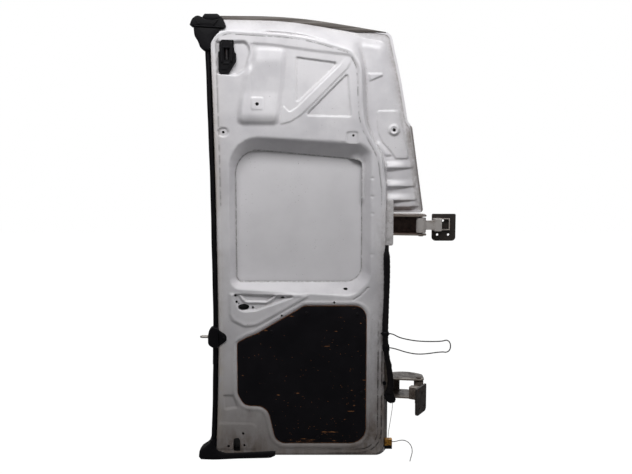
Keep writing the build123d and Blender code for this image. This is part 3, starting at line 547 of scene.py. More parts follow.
# %% Outlines below the window and on the wing
lever_pocket = rounded(
    np.add([(74, -14), (360, -24), (172, -92), (124, -96), (98, -88), (78, -47)], (0, SILL)),
    (14, 8, 30, 20, 20, 12),
)
lever_bead = rounded(
    [(96, 726), (112, 696), (128, 682), (216, 680), (238, 694), (262, 720)], (4, 10, 14, 14, 10, 4),
)
band_loop = rounded(
    [(56, 724), (53, 627), (69, 597), (122, 571), (176, 576), (372, 688), (404, 712), (352, 724)],
    (10, 30, 30, 40, 40, 20, 10, 10),
)
corner_pocket = rounded([(33, 287), (74, 287), (92, 229), (38, 223)], 6)
lower_pad = rounded([(12, 47), (170, 47), (170, 164), (12, 168)], (8, 10, 26, 8))
wing_plate = rounded(
    [(666, 1472), (760, 1472), (780, 1396), (806, 1271), (747, 1271), (723, 1304), (690, 1340), (673, 1380)],
    (14, 14, 60, 12, 12, 30, 30, 30),
)
top_rib = rounded([(628, 1622), (692, 1622), (696, 1608), (637, 1584)], (4, 6, 4, 6))
print("the lower pad is", np.ptp(lower_pad, axis=0).round(), "mm")


# %% Rules for heights
def soft_min(first, second, blend):
    """The lower of two heights, with a parabola of that width where they meet."""
    share = np.clip(0.5 + 0.5 * (second - first) / blend, 0, 1)
    return second * (1 - share) + first * share - blend * share * (1 - share)


def soft_max(first, second, blend):
    """The higher of two heights, rounded in the same way."""
    return -soft_min(-first, -second, blend)


def ease(share):
    """A smooth step: level at 0 and at 1, a cubic between them."""
    share = np.clip(share, 0, 1)
    return share * share * (3 - 2 * share)


def rises(value, start, width):
    """0 up to a start, 1 from a width beyond it, and a smooth step between."""
    return ease((value - start) / width)


def falls(value, end, width):
    """1 until a width before an end, 0 from the end on, and a smooth step between."""
    return ease((end - value) / width)


def slope_between(lower_loop, upper_loop, low, high, at):
    """A straight wall from one loop to another: the share of the way is the distance from the first loop over
    the sum of the distances from both."""
    from_low, to_high = depth(lower_loop, at), -depth(upper_loop, at)
    half = np.maximum((from_low + to_high) / 2, 2.0)
    return low + (high - low) * (0.5 + (from_low - to_high) / 4 / half)


def press(loop, wall, at):
    """0 outside a loop, 1 once a point is the wall's width inside it, and a smooth step between."""
    return rises(depth(loop, at), 0, wall)


def bead(loop, inset, width, at):
    """1 on a line that runs inside a loop at an inset, falling away as a bell curve of that width."""
    return np.exp(-(((depth(loop, at) - inset) / width) ** 2))


def groove(points, width, at):
    """1 on an open line, walked there and back to make a loop, falling away as a bell curve."""
    return bead(np.array([*points, *points[-2:0:-1]], float), 0, width, at)


def mound(centre, reach, at):
    """1 over a round or oval spot, falling away as a bell curve."""
    return np.exp(-((at[0] - centre[0]) / reach[0]) ** 2 - ((at[1] - centre[1]) / reach[1]) ** 2)


def softened(where, places, values, reach):
    """A broken line through places and values with rounded corners: the mean of seven readings round a point."""
    return np.mean([np.interp(where + shift, places, values) for shift in np.linspace(-reach, reach, 7)], 0)


def pressings(features, at):
    """Several features at once: each is an outline, the width of its wall, and its height, below 0 if sunk."""
    return sum(height * press(loop, wall, at) for loop, wall, height in features)


# %% What is pressed into the tray
SPINE_UP = (1398, 1440, 1452, 1541, 1664, 1730)
SPINE_OUT = (0, 17, 18, 6, 11, 0)
DIMPLE, DIMPLE_RADIUS = (48, 1381), 22
UPPER_PRESSINGS = (
    (anchor_plate, 5, 2.2), (upper_triangle, 7, -7.0), (lower_triangle, 7, -7.0), (latch_pocket, 15, -12.0),
    (corner_dish, 7, -3.5),
)
LOWER_PRESSINGS = (
    (lever_pocket, 9, -6.5), (lever_bead, 8, -2.0), (corner_pocket, 5, -4.0), (lower_pad, 6, 2.5),
)
CREASE = [(575, 692), (604, 709), (626, 733), (637, 745)]


def upper_features(at):
    """Above the window: a field that sinks towards the top, the spine that swells into an anchor, a brace
    between two triangles that fades towards its upper end, the latch pocket, and a dimple."""
    across, up = at
    out = pressings(UPPER_PRESSINGS, at)
    out -= 5.0 * press(upper_field, 14, at) * rises(up, 1450, 190)
    out += softened(up, SPINE_UP, SPINE_OUT, 9) * press(spine_loop, 26, at)
    out += 3.5 * press(brace_loop, 6, at) * falls(up, 1690, 60)
    return out - 5.0 * falls(np.hypot(across - DIMPLE[0], up - DIMPLE[1]), DIMPLE_RADIUS, 7)


def lower_features(at):
    """Below the window: the lever pocket with its bead, the raised band over the board, a thin crease, the
    board's seat with its rim, the corner recess and the bolt's pad."""
    up = at[1]
    out = pressings(LOWER_PRESSINGS, at)
    out += 6.5 * bead(lever_bead, 0, 4.5, at) * falls(up, 718, 12)
    band = 4.0 * press(band_loop, 16, at) + 2.0 * bead(band_loop, 14, 10, at)
    out += band * (1 - press(lever_pocket, 9, at)) * falls(up, 730, 14)
    out -= 3.0 * groove(CREASE, 3.0, at)
    out -= 4.4 * rises(depth(board_loop, at), -6, 7)
    return out + 2.6 * bead(board_loop, -14, 6, at)


# %% The wing
WING_PRESSINGS = ((wing_plate, 6, 4.5), (top_rib, 8, 5.5))
BOSS = (739, 1391)
LOUVRES = ((716, 823, 1238, 15), (716, 832, 1161, 14), (716, 841, 1104, 10))  # left, right, lip, underside
LOUVRE_RISE, LOUVRE_SLOPE = 15.0, 32
HEM_GROOVE = 1071
PLATE_RIDGE = [(676, 1330), (700, 1306), (716, 1286)]


def wing_height(at):
    """The shallow wing: a soft slope at its edge, a raised plate with a boss, three louvres whose upper slope is
    gentle and whose underside falls away at once, a groove over the hem, and a rib at the top."""
    across, up = at
    out = soft_min(slope_between(wing_base, wing_top, FLANGE, WING_LAND, at), WING_LAND, 12.0)
    out += pressings(WING_PRESSINGS, at)
    from_boss = np.hypot(across - BOSS[0], up - BOSS[1])
    out += 9.0 * falls(from_boss, 27, 12) - 3.0 * falls(from_boss, 14, 4)
    for left, right, lip, under in LOUVRES:
        share = np.clip((across - left) / (right - left), 0, 1)
        ends = falls(across, right + 4, 16) * rises(across, left - 14, 14)
        above = falls(up, lip + LOUVRE_SLOPE, LOUVRE_SLOPE)
        below = np.clip(1 + (up - lip) / (under * (1 - share) + 2.5), 0, 1)
        out += LOUVRE_RISE * (1 - 0.8 * share) * ends * np.where(up > lip, above, below)
    out -= 4.0 * np.exp(-(((up - HEM_GROOVE) / 3.5) ** 2)) * rises(across, 738, 10)
    out += 6.0 * groove(PLATE_RIDGE, 12.0, at)
    return out - 6.0 * mound((719, 1282), (12, 7), at)


# %% The whole sheet
NOTCHES = ((645, 880), (645, 1050), (645, 1120), (645, 1195))


def sheet_height(at):
    """How far out the panel's front lies: the tray by its walls and what is pressed into it, the cove cut down
    to the skin, and the wing where it is higher."""
    across, up = at
    tray = soft_min(slope_between(tray_base, tray_land, FLANGE, LAND, at), LAND, 12.0)
    # The seal presses on a low ridge round the land, with a groove under the top edge
    tray += 1.8 * bead(tray_land, 9, 5, at)
    along_top = rises(across, 180, 60) * falls(across, 500, 160) * (up > 1600)
    tray -= 9.0 * along_top * bead(tray_land, 1, 4.0, at)
    tray -= 4.0 * sum(mound(notch, (10, 5), at) for notch in NOTCHES)
    tray += np.where(up > SILL + 10, upper_features(at), lower_features(at))
    cove = slope_between(cove_land, cove_hole, LAND, FLANGE, at)
    tray = soft_min(tray, np.maximum(cove, FLANGE - 1.5), 9.0)
    return np.maximum(soft_max(tray, wing_height(at), 14.0), FLANGE - 0.5)


# %% [markdown]
# The grid is finer where the tray's side walls are steep. Where a grid meets the window or the outer edge, the
# first row of points beyond the outline moves onto it, so the sheet ends on a clean line. A round hole is a
# square of the grid taken out, and filled by rings that run from the square to the circle and down into it.

# %% Grid of the panel
def stretches(start, *runs):
    """Grid lines that begin at start: each run says where it ends and how many steps lead there."""
    lines = [np.array([start], float)]
    for end, steps in runs:
        lines.append(np.linspace(lines[-1][-1], end, steps + 1)[1:])
    return np.concatenate(lines)


columns = stretches(0, (18, 9), (640, 179), (718, 30), (868, 49))
rows = stretches(2, (28, 11), (560, 109), (770, 71), (1050, 57), (1850, 261))
ACROSS, UP = np.meshgrid(columns, rows)
EDGE_INSET = 3.0
HIDDEN_DEPTH = 22.0  # behind the trim board the panel is open


def neighbours(mask):
    """True where a grid point or any of the eight around it is in the mask."""
    grown = np.pad(mask, 1)
    return np.any([np.roll(grown, (i, j), (0, 1))[1:-1, 1:-1] for i in (-1, 0, 1) for j in (-1, 0, 1)], 0)


edge_depth, edge_across, edge_up = nearest_side(skin_loop, (ACROSS, UP))
hole_depth, hole_across, hole_up = nearest_side(cove_hole, (ACROSS, UP))
within = edge_depth > EDGE_INSET
open_window = hole_depth > 0
onto_edge = ~within & neighbours(within)
onto_hole = open_window & neighbours(~open_window)
toward = (EDGE_INSET - edge_depth) / np.maximum(np.abs(edge_depth), 1e-6) * np.sign(edge_depth)
grid_across = np.where(onto_edge, ACROSS + (ACROSS - edge_across) * toward, ACROSS)
grid_up = np.where(onto_edge, UP + (UP - edge_up) * toward, UP)
grid_across, grid_up = np.where(onto_hole, hole_across, grid_across), np.where(onto_hole, hole_up, grid_up)
grid_out = sheet_height((grid_across, grid_up))
print("panel grid", grid_out.shape, "heights", grid_out.min().round(1), "to", grid_out.max().round(1))

# %% Which quads stay
quads = grid_quads(*ACROSS.shape)
column_of, row_of = quads[:, 0] % len(columns), quads[:, 0] // len(columns)
usable = (within | onto_edge).ravel()
stays = usable[quads].all(1) & within.ravel()[quads].any(1) & ~open_window.ravel()[quads].all(1)
stays &= (depth(board_loop, (ACROSS, UP)) < HIDDEN_DEPTH).ravel()[quads].all(1)
print(stays.sum(), "of", len(quads), "quads stay")

# %% Rings that fill a square round a hole
HOLE_MARGIN = 4.0
RING_STEPS = np.array([1.0, 0.72, 0.45, 0.2, 0.06, 0.0])  # from the square's rim to the hole
WALL_STEPS = np.array([0.4, 1.2, 3.0, 9.0, 24.0])  # down its wall, in millimetres
# painted shade: the rings down a hole get a near-black colour in place of the shade inside it
HOLE_SHADE = np.array([0, 0, 0, 0, 0, 0, 0.3, 0.9, 1, 1, 1, 1])  # how far each ring lies in the hole's dark
OVAL, ARCH_TOP, ARCH_FOOT = 2.0, 3.2, 10.0  # powers: 2 gives an oval, a high one nearly a rectangle


def lines_round(middle, half, lines):
    """Numbers of the grid lines on either side of a hole, a margin away from it."""
    return np.searchsorted(lines, (middle - half - HOLE_MARGIN, middle + half + HOLE_MARGIN)) + (-1, 0)


def rim_of(left, right, low, high):
    """The points of a square of the grid, walked once round."""
    level, upright = np.arange(left, right), np.arange(low, high)
    column = np.r_[level, right + 0 * upright, level[::-1] + 1, left + 0 * upright]
    row = np.r_[low + 0 * level, upright, high + 0 * level, upright[::-1] + 1]
    return np.stack([columns[column], rows[row]], -1)


def hole_patch(rim, middle, half_across, half_up, arched):
    """Rings of points from a rim to a hole in the same directions, down its wall, and to one point on its floor.
    On the hole's outline the powers of across and up, each as a share of its half, add up to one."""
    half = np.array([half_across, half_up])
    angle = np.arctan2(*((rim - middle) / half).T[::-1])
    power = np.where(np.sin(angle) < 0, ARCH_FOOT, ARCH_TOP) if arched else OVAL
    swell = (np.abs(np.cos(angle)) ** power + np.abs(np.sin(angle)) ** power) ** (-1 / power)
    oval = middle + half * swell[:, None] * np.stack([np.cos(angle), np.sin(angle)], -1)
    ring = oval + (rim - oval) * RING_STEPS[:, None, None]
    ring_out = sheet_height((ring[..., 0], ring[..., 1]))
    wall_out = ring_out[-1] - WALL_STEPS[:, None]
    floor_out = np.full((1, len(rim)), wall_out[-1].mean())
    wall = np.broadcast_to(oval, (len(WALL_STEPS), *oval.shape))
    flat = np.concatenate([ring, wall, np.full((1, len(rim), 2), middle)])
    return np.concatenate([flat, np.concatenate([ring_out, wall_out, floor_out])[..., None]], -1)


# %% The holes, by middle, half width and half height
HOLES = [
    (BOSS, 7, 7), (DIMPLE, 5, 5), ((183, 1493), 7, 7), ((571, HEAD + 6), 5, 5), ((495, SILL - 54), 5, 5),
    ((277, 626), 5, 5), ((112, 119), 5, 5), ((56, 64), 5, 5), ((116, 68), 5, 5), ((157, 659), 5.5, 5),
    ((281, 701), 8, 4.5), ((119, 661), 23, 13), ((85.5, 71), 13.5, 29, "arched"), ((543, SILL - 2), 9, 4.5),
    ((85, 710), 5, 5), ((90, 683), 5, 5),
]
panel_points = [np.stack([grid_across, grid_up, grid_out], -1).reshape(-1, 3)]
panel_quads, hole_shade = [], [np.zeros(ACROSS.size)]
for middle, half_across, half_up, *arched in HOLES:
    left, right = lines_round(middle[0], half_across, columns)
    low, high = lines_round(middle[1], half_up, rows)
    stays &= ~((column_of >= left) & (column_of < right) & (row_of >= low) & (row_of < high))
    patch = hole_patch(rim_of(left, right, low, high), middle, half_across, half_up, arched)
    panel_quads.append(grid_quads(*patch.shape[:2], wrap=True) + sum(map(len, panel_points)))
    panel_points.append(patch.reshape(-1, 3))
    hole_shade.append(np.repeat(HOLE_SHADE, patch.shape[1]))
panel_quads = np.concatenate([quads[stays], *panel_quads])
flat_across, flat_up, flat_out = np.concatenate(panel_points).T
print("panel:", len(panel_quads), "quads with", len(HOLES), "holes")

# %% The free edge bends
BOW_MIDDLE = 620


def edge_bow(up):
    """How far the free edge bends away from straight: two parabolas that meet at the bow's middle."""
    above = -16.0 * ((up - BOW_MIDDLE) / 1080) ** 2
    return np.where(up > BOW_MIDDLE, above, -15.0 * ((BOW_MIDDLE - up) / 530) ** 2)


with_height = 0.65 + 0.35 * (flat_out - FLANGE) / (LAND - FLANGE)
bent = edge_bow(flat_up) * with_height * falls(flat_across, 90, 80)
panel_points = np.stack([flat_across + bent, flat_up, flat_out], -1)
print("the free edge bends by up to", -bent.min().round(1), "mm")

# %% [markdown]
# Dirt has its own logic. It stays where the sheet folds inwards, along the hem where water stands, and on the
# lower half that road spray reaches. Those three are measured on the sheet, stored per vertex, and read by the
# paint, so the grime sits in the folds and not on a picture of them. The same goes for the marks that seals,
# glue and the hinges left, each in its own place. The darkening in the folds, on the wing's sloping edge and
# towards the bottom is painted shade as well as dirt, and the inside of each hole is painted near-black as shade.

# %% Where dirt and painted shade stay
SHARPEST_FOLD = 0.25
SPRAY_AND_SHADE_TOP = 860
STAINS = (  # centre, reach and strength
    ((700, 60), (120, 130), 1.0), ((90, 60), (80, 60), 1.0), ((812, 1366), (24, 44), 0.7),
    ((130, 205), (60, 26), 0.35), ((196, 110), (26, 60), 0.3),
)
px, pz = spot = flat_across, flat_up


def fade(distance, reach):
    """1 up to a place, and beyond it an exponential fall with that reach."""
    return np.exp(-np.maximum(distance, 0) / reach)


# dirt and painted shade: inward folds of the sheet are darkened, in place of the shade that gathers in a crease
bend = np.gradient(np.gradient(grid_out, columns, axis=1), columns, axis=1)
bend += np.gradient(np.gradient(grid_out, rows, axis=0), rows, axis=0)
fold_dirt_and_shade = np.zeros(len(panel_points))
fold_dirt_and_shade[: ACROSS.size] = np.clip(bend, 0, SHARPEST_FOLD).ravel() / SHARPEST_FOLD
# dirt and painted shade: the wing's sloping edge, which faces away from the light, gets the hem's dark colour
wing_slope_shade = rises(px - 0.145 * (1400 - pz), 780, 14) * falls(pz, 1420, 30)
hem_grime_and_shade = np.maximum(fade(depth(skin_loop, spot) - 8, 16), 0.8 * wing_slope_shade)
# road dirt and painted shade: the panel darkens towards its foot, which also paints in the fall-off of the
# ceiling light
spray_and_shade = np.clip((SPRAY_AND_SHADE_TOP - pz) / SPRAY_AND_SHADE_TOP, 0, 1) ** 1.25
near_hinge = fade(704 - px, 34) * falls(px, 748, 20)
stain = near_hinge * (0.45 * falls(pz, 1090, 120) + 0.75 * falls(pz, 800, 300))
stain += sum(strength * mound(centre, reach, spot) for centre, reach, strength in STAINS)
stain += 0.8 * fade(pz - 22, 26)
print("deepest stain", stain.max().round(2))

# %% Marks of seals and glue
GLUE_SPOT = ((25, 350), (11, 40))
TRACE_INSETS = (2, 18)
trace_loop = rounded([(100, 32), (697, 32), (697, 1000), (100, 1000)], (4, 92, 4, 4))
low_right = falls(pz, 700, 300) * rises(px, 400, 140)
seal_trace = bead(tray_land, 19, 1.8, spot) * (pz > 1080)
seal_trace += 1.7 * low_right * sum(bead(trace_loop, inset, 2.4, spot) for inset in TRACE_INSETS)
yellowing = fade(px - 8, 14) * (pz > 100) * (pz < 1700) + 0.9 * mound(*GLUE_SPOT, spot)
numbers = {
    "fold_dirt_and_shade": fold_dirt_and_shade, "hem_grime_and_shade": hem_grime_and_shade, "spray_and_shade": spray_and_shade, "stain": np.clip(stain, 0, 1), "yellowing": yellowing,
    "seal_trace": seal_trace, "sealant": bead(cove_hole, 0, 3.0, spot), "hole_shade": np.concatenate(hole_shade),
}
print("numbers per vertex:", *numbers)

# %% Layers of dirt and painted shade
def worn_layers(paint, cloud, fine, streak):
    """What years of use laid over the panel's paint, with painted shade among it: each a colour, and how much of
    it, from the numbers of the sheet broken up by noise. The last one is painted shade inside the holes."""
    spray_and_shade_here = paint.painted("spray_and_shade") * (0.8 + 0.24 * streak)
    traces = paint.soft(paint.noise(38.0, 4.0, 0.6), 0.36, 0.56)
    return (
        # road dirt and painted shade, darker towards the bottom
        (tone(110, 101, 94), paint.soft(spray_and_shade_here, 0.05, 1.0) * 0.85),
        (tone(196, 176, 138), paint.painted("yellowing") * paint.soft(cloud + 0.3 * fine, 0.4, 0.8) * 0.5),
        (tone(82, 62, 46), paint.painted("stain") * paint.soft(streak + 0.5 * fine, 0.5, 1.0) * 0.75),
        # hem dirt, with painted shade on the wing's sloping edge
        (tone(116, 104, 92), paint.painted("hem_grime_and_shade") * paint.soft(fine + 0.4 * cloud, 0.35, 0.9) * 0.6),
        # dirt and painted shade in the inward folds
        (tone(122, 114, 104), paint.painted("fold_dirt_and_shade") * paint.soft(fine, 0.3, 0.7) * 0.35),
        (tone(50, 44, 42), paint.painted("seal_trace") * traces * 0.75),
        (tone(70, 64, 58), paint.painted("sealant") * paint.soft(fine, 0.3, 0.6) * 0.8),
        # painted shade: near-black inside the holes, where only shade would be
        (tone(9, 8, 9), paint.painted("hole_shade")),
    )


def hem_layers(paint, fine):
    """The skin's hems at the foot and down the flank hold road dirt; along the lower part of the wing's edge the
    same colour is dirt and painted shade.
    """
    x, z = paint.axis("X"), paint.axis("Z")
    foot = 1 - paint.soft(z, -0.982, -0.966)
    flank = paint.soft(x, -0.238, -0.231) * (z < 0.06)
    # dirt and painted shade along the wing's edge, which faces away from the light
    wing_edge_shade = paint.soft(x - 0.1453 * (0.413 - z), -0.148, -0.138) * (z < 0.42)
    return ((tone(84, 74, 66), paint.soft(foot + flank + wing_edge_shade, 0.0, 1.0) * (0.5 + 0.5 * fine)),)


# %% Door paint
def door_paint(name, worn):
    """White gloss paint: a slow cloud of grey, layers of dirt and painted shade, and small dark specks over all
    of it.
    """
    paint = Finish(name, Specular_IOR_Level=0.5)
    cloud = paint.noise(6.0, 5.0)
    fine = paint.noise(70.0, 6.0, 0.7)
    streak = paint.noise(14.0, 5.0, 0.6, (2, 2, 0.8))
    specks = paint.soft(paint.noise(210.0, 2.0, 0.5), 0.70, 0.75) * paint.soft(paint.noise(9.0, 3.0), 0.48, 0.62)
    cloud_grey = tone(206, 204, 208) if worn else tone(219, 217, 220)
    colour = paint.between(tone(226, 224, 227), cloud_grey, cloud, 0.35, 0.75)
    layers = worn_layers(paint, cloud, fine, streak) if worn else hem_layers(paint, fine)
    for dirt, amount in (*layers, (tone(92, 82, 74), specks * 0.8)):
        colour = paint.mix(colour, dirt, amount)
    paint.colour(colour).rough(0.24 + 0.1 * fine)
    return paint.bumps(paint.noise(24.0, 3.0), 0.0005, 0.35 if worn else 0.12)


# %% The painted panel
make_piece(
    "pressed_inner_panel", place(*panel_points.T), panel_quads, door_paint("panel_paint", True),
    "white_paint", ["inner_panel"], numbers=numbers, closed=False, sharp=75.0,
)

# %% [markdown]
# ## Solids that keep their shape
#
# Hinges, latch, pins and connector are machined or moulded, and their solids are right as they are. They only
# need a surface. A small function swaps the plain material of a solid for a finish.

# %% A finish on a solid
def refinish(finish, *names):
    """Solids keep their mesh and get a better finish."""
    for name in names:
        slots = nodes[name].data.materials
        slots.clear()
        slots.append(finish.material)
    print(finish.material.name, "on", *names)


refinish(door_paint("skin_paint", False), "outer_skin")

# %% [markdown]
# ## The folded top hem
#
# Along the top the outer skin is folded over the panel's flange. Sealer and dirt have turned the fold grey-brown,
# in streaks that run along it. It is one small profile carried along the top edge, and a noise stretched in
# that direction does the rest.

# %% Top hem
HEM_START, HEM_END = 24, 704
HEM_PROFILE = np.array([  # up and out
    (0.4, 9), (0.8, 12), (-1, 13.8), (-5, 14.6), (-11, 13.6), (-16, 13.9), (-20, 12.6), (-20, 10.5), (-10, 9),
])
hem_finish = Finish("dirty_hem")
streaks = hem_finish.noise(30.0, 5.0, 0.65, (0.12, 1, 9))
hem_finish.colour(hem_finish.between(tone(60, 53, 48), tone(132, 127, 123), streaks, 0.38, 0.75))
hem_finish.rough(0.45 + 0.3 * streaks).bumps(streaks, 0.0008, 0.6)
on_top = skin_loop[(skin_loop[:, 1] > 1760) & (skin_loop[:, 0] < 722)]
on_top = on_top[np.argsort(on_top[:, 0])]
hem_across = np.linspace(HEM_START, HEM_END, 150)[:, None]
hem_width = np.interp(hem_across, (HEM_START, 130, 590, HEM_END), (0.65, 1.0, 1.0, 0.12))
hem_up = np.interp(hem_across, *on_top.T) + hem_width * HEM_PROFILE[:, 0]
carried("top_hem_fold", place(hem_across, hem_up, HEM_PROFILE[:, 1]), hem_finish, "white_paint")

# %% [markdown]
# ## Rubber and plastic
#
# Old rubber is a dull black with a grey bloom of dust, worn smooth where hands and the other leaf touch it.
# Moulded plastic is a little glossier and has a fine grain. Both are a dark colour with two noises: a slow one
# for dust and a fine one for grain.

# %% Black finishes
def black_finish(name, base, dust, roughness, grain, grain_height):
    """A black moulding: dust in slow clouds, grain as bumps, and roughness that follows the dust."""
    made = Finish(name, Specular_IOR_Level=0.14)
    cloud = made.noise(14.0, 5.0, 0.65)
    fine = made.noise(grain, 3.0, 0.6)
    dusty = made.soft(cloud + 0.25 * fine, 0.5, 1.0)
    made.colour(made.mix(base, dust, dusty * 0.5))
    made.rough(roughness + 0.22 * dusty)
    return made.bumps(fine, grain_height, 0.7)


rubber = black_finish("old_rubber", tone(11, 10, 13), tone(31, 30, 33), 0.52, 240.0, 0.0004)
plastic = black_finish("grained_plastic", tone(12, 11, 14), tone(34, 32, 35), 0.4, 420.0, 0.00025)
tape = black_finish("cloth_tape", tone(16, 14, 16), tone(42, 39, 39), 0.5, 160.0, 0.0005)
RUBBER, PLASTIC = (rubber, "black_rubber"), (plastic, "black_plastic")  # each with its slot
refinish(plastic, "upper_latch_body", "upper_latch_cover", "connector_base")

# %% [markdown]
# ## Mouldings over an outline
#
# Boots, striker housing and end boot are rubber or plastic mouldings: seen from the front they are an outline,
# and from the side a crowned face with a rounded edge. Scaling the outline towards a middle point, ring by
# ring, and giving each ring its height makes such a closed body with one formula. Extruding the outline would
# leave a hard edge all round.

# %% A crowned moulding
def moulded(name, loop, middle, back, front, crown, edge, *looks):
    """Rings scale the outline to a middle point. The face is a parabola of the crown's height over the front,
    the edge a quarter circle, and the side goes straight to the back."""
    loop, middle = np.asarray(loop, float), np.asarray(middle, float)
    size = np.linalg.norm(loop - middle, axis=1).mean()
    turn = np.linspace(0, np.pi / 2, 5)
    scale = np.r_[0, 0.3, 0.6, 0.8 * (1 - edge / size), 1 - edge / size * (1 - np.sin(turn)), 1, 0]
    out = np.r_[np.full(4, front), front - edge * (1 - np.cos(turn)), back, back]
    out[:-2] += crown * (1 - scale[:-2] ** 2)
    across, up = (middle[k] + scale[:, None] * (loop[:, k] - middle[k]) for k in (0, 1))
    return ring_piece(name, place(across, up, out[:, None]), *looks)


def strut(name, start, end, half, back, front, *looks):
    """A straight rib between two points of the door, rounded, of that half width."""
    start, end = np.array(start, float), np.array(end, float)
    ahead = (end - start) / np.linalg.norm(end - start)
    side = half * np.array([-ahead[1], ahead[0]])
    loop = rounded([start - side, end - side, end + side, start + side], half * 0.8)
    return moulded(name, loop, (start + end) / 2, back, front, 0.3, half * 0.6, *looks)


# %% Top corner boot
cap_loop = rounded(
    [(-85, 1804), (-80, 1818), (-74, 1830), (-60, 1840), (-48, 1842), (-36, 1836), (6, 1840), (44, 1836),
     (50, 1824), (58, 1806), (60, 1795), (47, 1790), (-68, 1801)],
    (3, 20, 20, 20, 16, 10, 60, 8, 30, 20, 4, 4, 4),
)
funnel_loop = rounded(
    [(-70, 1806), (-66, 1763), (-53, 1742), (-44, 1718), (-36, 1709), (-26, 1706), (-8, 1703), (-5, 1719),
     (2, 1739), (15, 1758), (35, 1780), (44, 1800)],
    (4, 30, 30, 10, 8, 8, 6, 30, 40, 60, 40, 4),
)
knob_loop = rounded(
    [(-36, 1832), (-24, 1848), (28, 1848), (46, 1832), (8, 1822), (-14, 1824)], (6, 8, 10, 8, 20, 16),
)
moulded("top_boot_cap", cap_loop, (-12, 1815), 14, 76, 3, 5, *RUBBER, ["top_corner_boot"])
moulded("top_boot_funnel", funnel_loop, (-22, 1764), 14, 75, 3, 4, *RUBBER)
moulded("top_boot_knob", knob_loop, (2, 1836), 40, 79, 2, 5, *RUBBER)
BOOT_RIBS = {  # start, end, half width, back and front
    "top_boot_rib_left": ((-58, 1822), (-44, 1805), 2.0, 70, 82),
    "top_boot_rib_right": ((30, 1825), (12, 1805), 2.0, 70, 82),
    "top_boot_rim": ((-66, 1801), (57, 1795), 2.2, 66, 82),
    "top_boot_fold": ((-50, 1774), (20, 1774), 3.0, 62, 76),
}
for name, rib in BOOT_RIBS.items():
    strut(name, *rib, *RUBBER)

# %% [markdown]
# The lower boot is long and bent, so it has no single middle point. Its outline is cut into a lower and an
# upper edge instead: each line that crosses from one to the other becomes an arch.

# %% Lower corner boot
BOOT_LOWER_EDGE = np.array([
    (-30, 88), (-30, 76), (-46, 62), (-66, 49), (-77, 34), (-79, 14), (-70, 3), (-14, 1), (92, 6), (226, 9),
    (246, 19),
])
BOOT_UPPER_EDGE = np.array([
    (-4, 88), (-4, 76), (-3, 69), (0, 60), (6, 53), (14, 47), (24, 42), (46, 37), (100, 38), (215, 43), (248, 44),
])
BOOT_BACK, BOOT_SIDE, BOOT_RISE = 14.0, 60.0, 18.0
station = np.linspace(0, 1, 46)


def resampled(where, places, points):
    """A line through points, read at other places along it."""
    return np.stack([np.interp(where, places, axis) for axis in points.T], -1)


pair = np.linspace(0, 1, len(BOOT_LOWER_EDGE))
low_run, high_run = (resampled(station, pair, edge)[:, None] for edge in (BOOT_LOWER_EDGE, BOOT_UPPER_EDGE))
arch = np.linspace(0, np.pi, 15)
crossing = low_run + (high_run - low_run) * ((1 - np.cos(arch)) / 2)[:, None]
section = np.concatenate([crossing, crossing[:, ::-1]], 1)
section_out = np.r_[BOOT_SIDE + BOOT_RISE * np.sin(arch) ** 0.5, np.full(len(arch), BOOT_BACK)]
lower_sections = place(section[..., 0], section[..., 1], section_out)
carried("lower_boot", lower_sections, *RUBBER, ["bottom_corner_boot"])

# %% [markdown]
# ## Meeting edge seal
#
# A hollow rubber section hangs on the free edge, held at its foot and bowed a little where the other leaf has
# pressed it. It is one profile carried up the edge. The foot stays on the steel, and the bulb follows the bow.

# %% Seal and sleeve
SEAL_PROFILE = np.array([  # across, out, and how much of the bow the point follows
    (3.0, 14, 0), (-6, 13, 0.4), (-10, 18, 1), (-10.5, 30, 1), (-10, 46, 1), (-7, 57, 1), (0, 62, 1), (7, 60, 1),
    (10.4, 54, 1), (8.6, 44, 1), (6.4, 34, 0.8), (4.6, 24, 0.2),
])


def bow(up):
    """The seal hangs a little off the edge, follows its bend, and waves where clips hold it."""
    return -2.0 + edge_bow(up) + 0.5 * np.sin(up / 83) + 0.3 * np.sin(up / 31)


def seal_run(low, high, grow, steps):
    """The profile, each side cut in four and its corners smoothed, grown from its middle, at heights from low to
    high."""
    up = np.linspace(low, high, steps)[:, None]
    quarter = np.linspace(0, 1, 4, endpoint=False)[:, None]
    after = np.roll(SEAL_PROFILE, -1, 0)
    fine = (SEAL_PROFILE[:, None] + (after - SEAL_PROFILE)[:, None] * quarter).reshape(-1, 3)
    follow = fine[:, 2]
    smooth = (np.roll(fine, 1, 0) + 2 * fine + np.roll(fine, -1, 0))[:, :2] / 4
    middle = smooth.mean(0)
    smooth = middle + (smooth - middle) * grow
    return place(smooth[:, 0] + follow * bow(up), up, smooth[:, 1])


carried("bulb_seal", seal_run(80, 1712, 1.0, 120), *RUBBER, ["meeting_edge_seal"])
carried("seal_cuff", seal_run(413, 484, np.array([1.16, 1.04]), 24), *RUBBER, ["seal_sleeve"])

# %% [markdown]
# ## Upper latch and striker
#
# The latch is a plastic frame with two rails that guide the bolt, a bridge over its mouth and a screw at either
# side. The solids give its body. Rails and bridge are added as small mouldings, because their rounded edges are
# all that shows of a black part on a bright door, and the screws follow with the other turned pieces. The
# striker further down is a block with a flange that a screw holds.

# %% Rails and bridge of the latch
LATCH_RAILS = {  # start, end, half width, back and front
    "latch_rail_left": ((42.5, LATCH_UP - 24), (42.5, LATCH_UP + 56), 4.2, 74, 83),
    "latch_rail_right": ((81.5, LATCH_UP - 22), (81.5, LATCH_UP + 56), 5.2, 74, 83),
    "latch_bridge": ((44, LATCH_UP + 37), (78, LATCH_UP + 37), 3.0, 74, 81),
    "latch_foot": ((44, LATCH_UP - 26), (74, LATCH_UP - 26), 4.0, 74, 80.5),
}
for name, rail in LATCH_RAILS.items():
    strut(name, *rail, *PLASTIC)

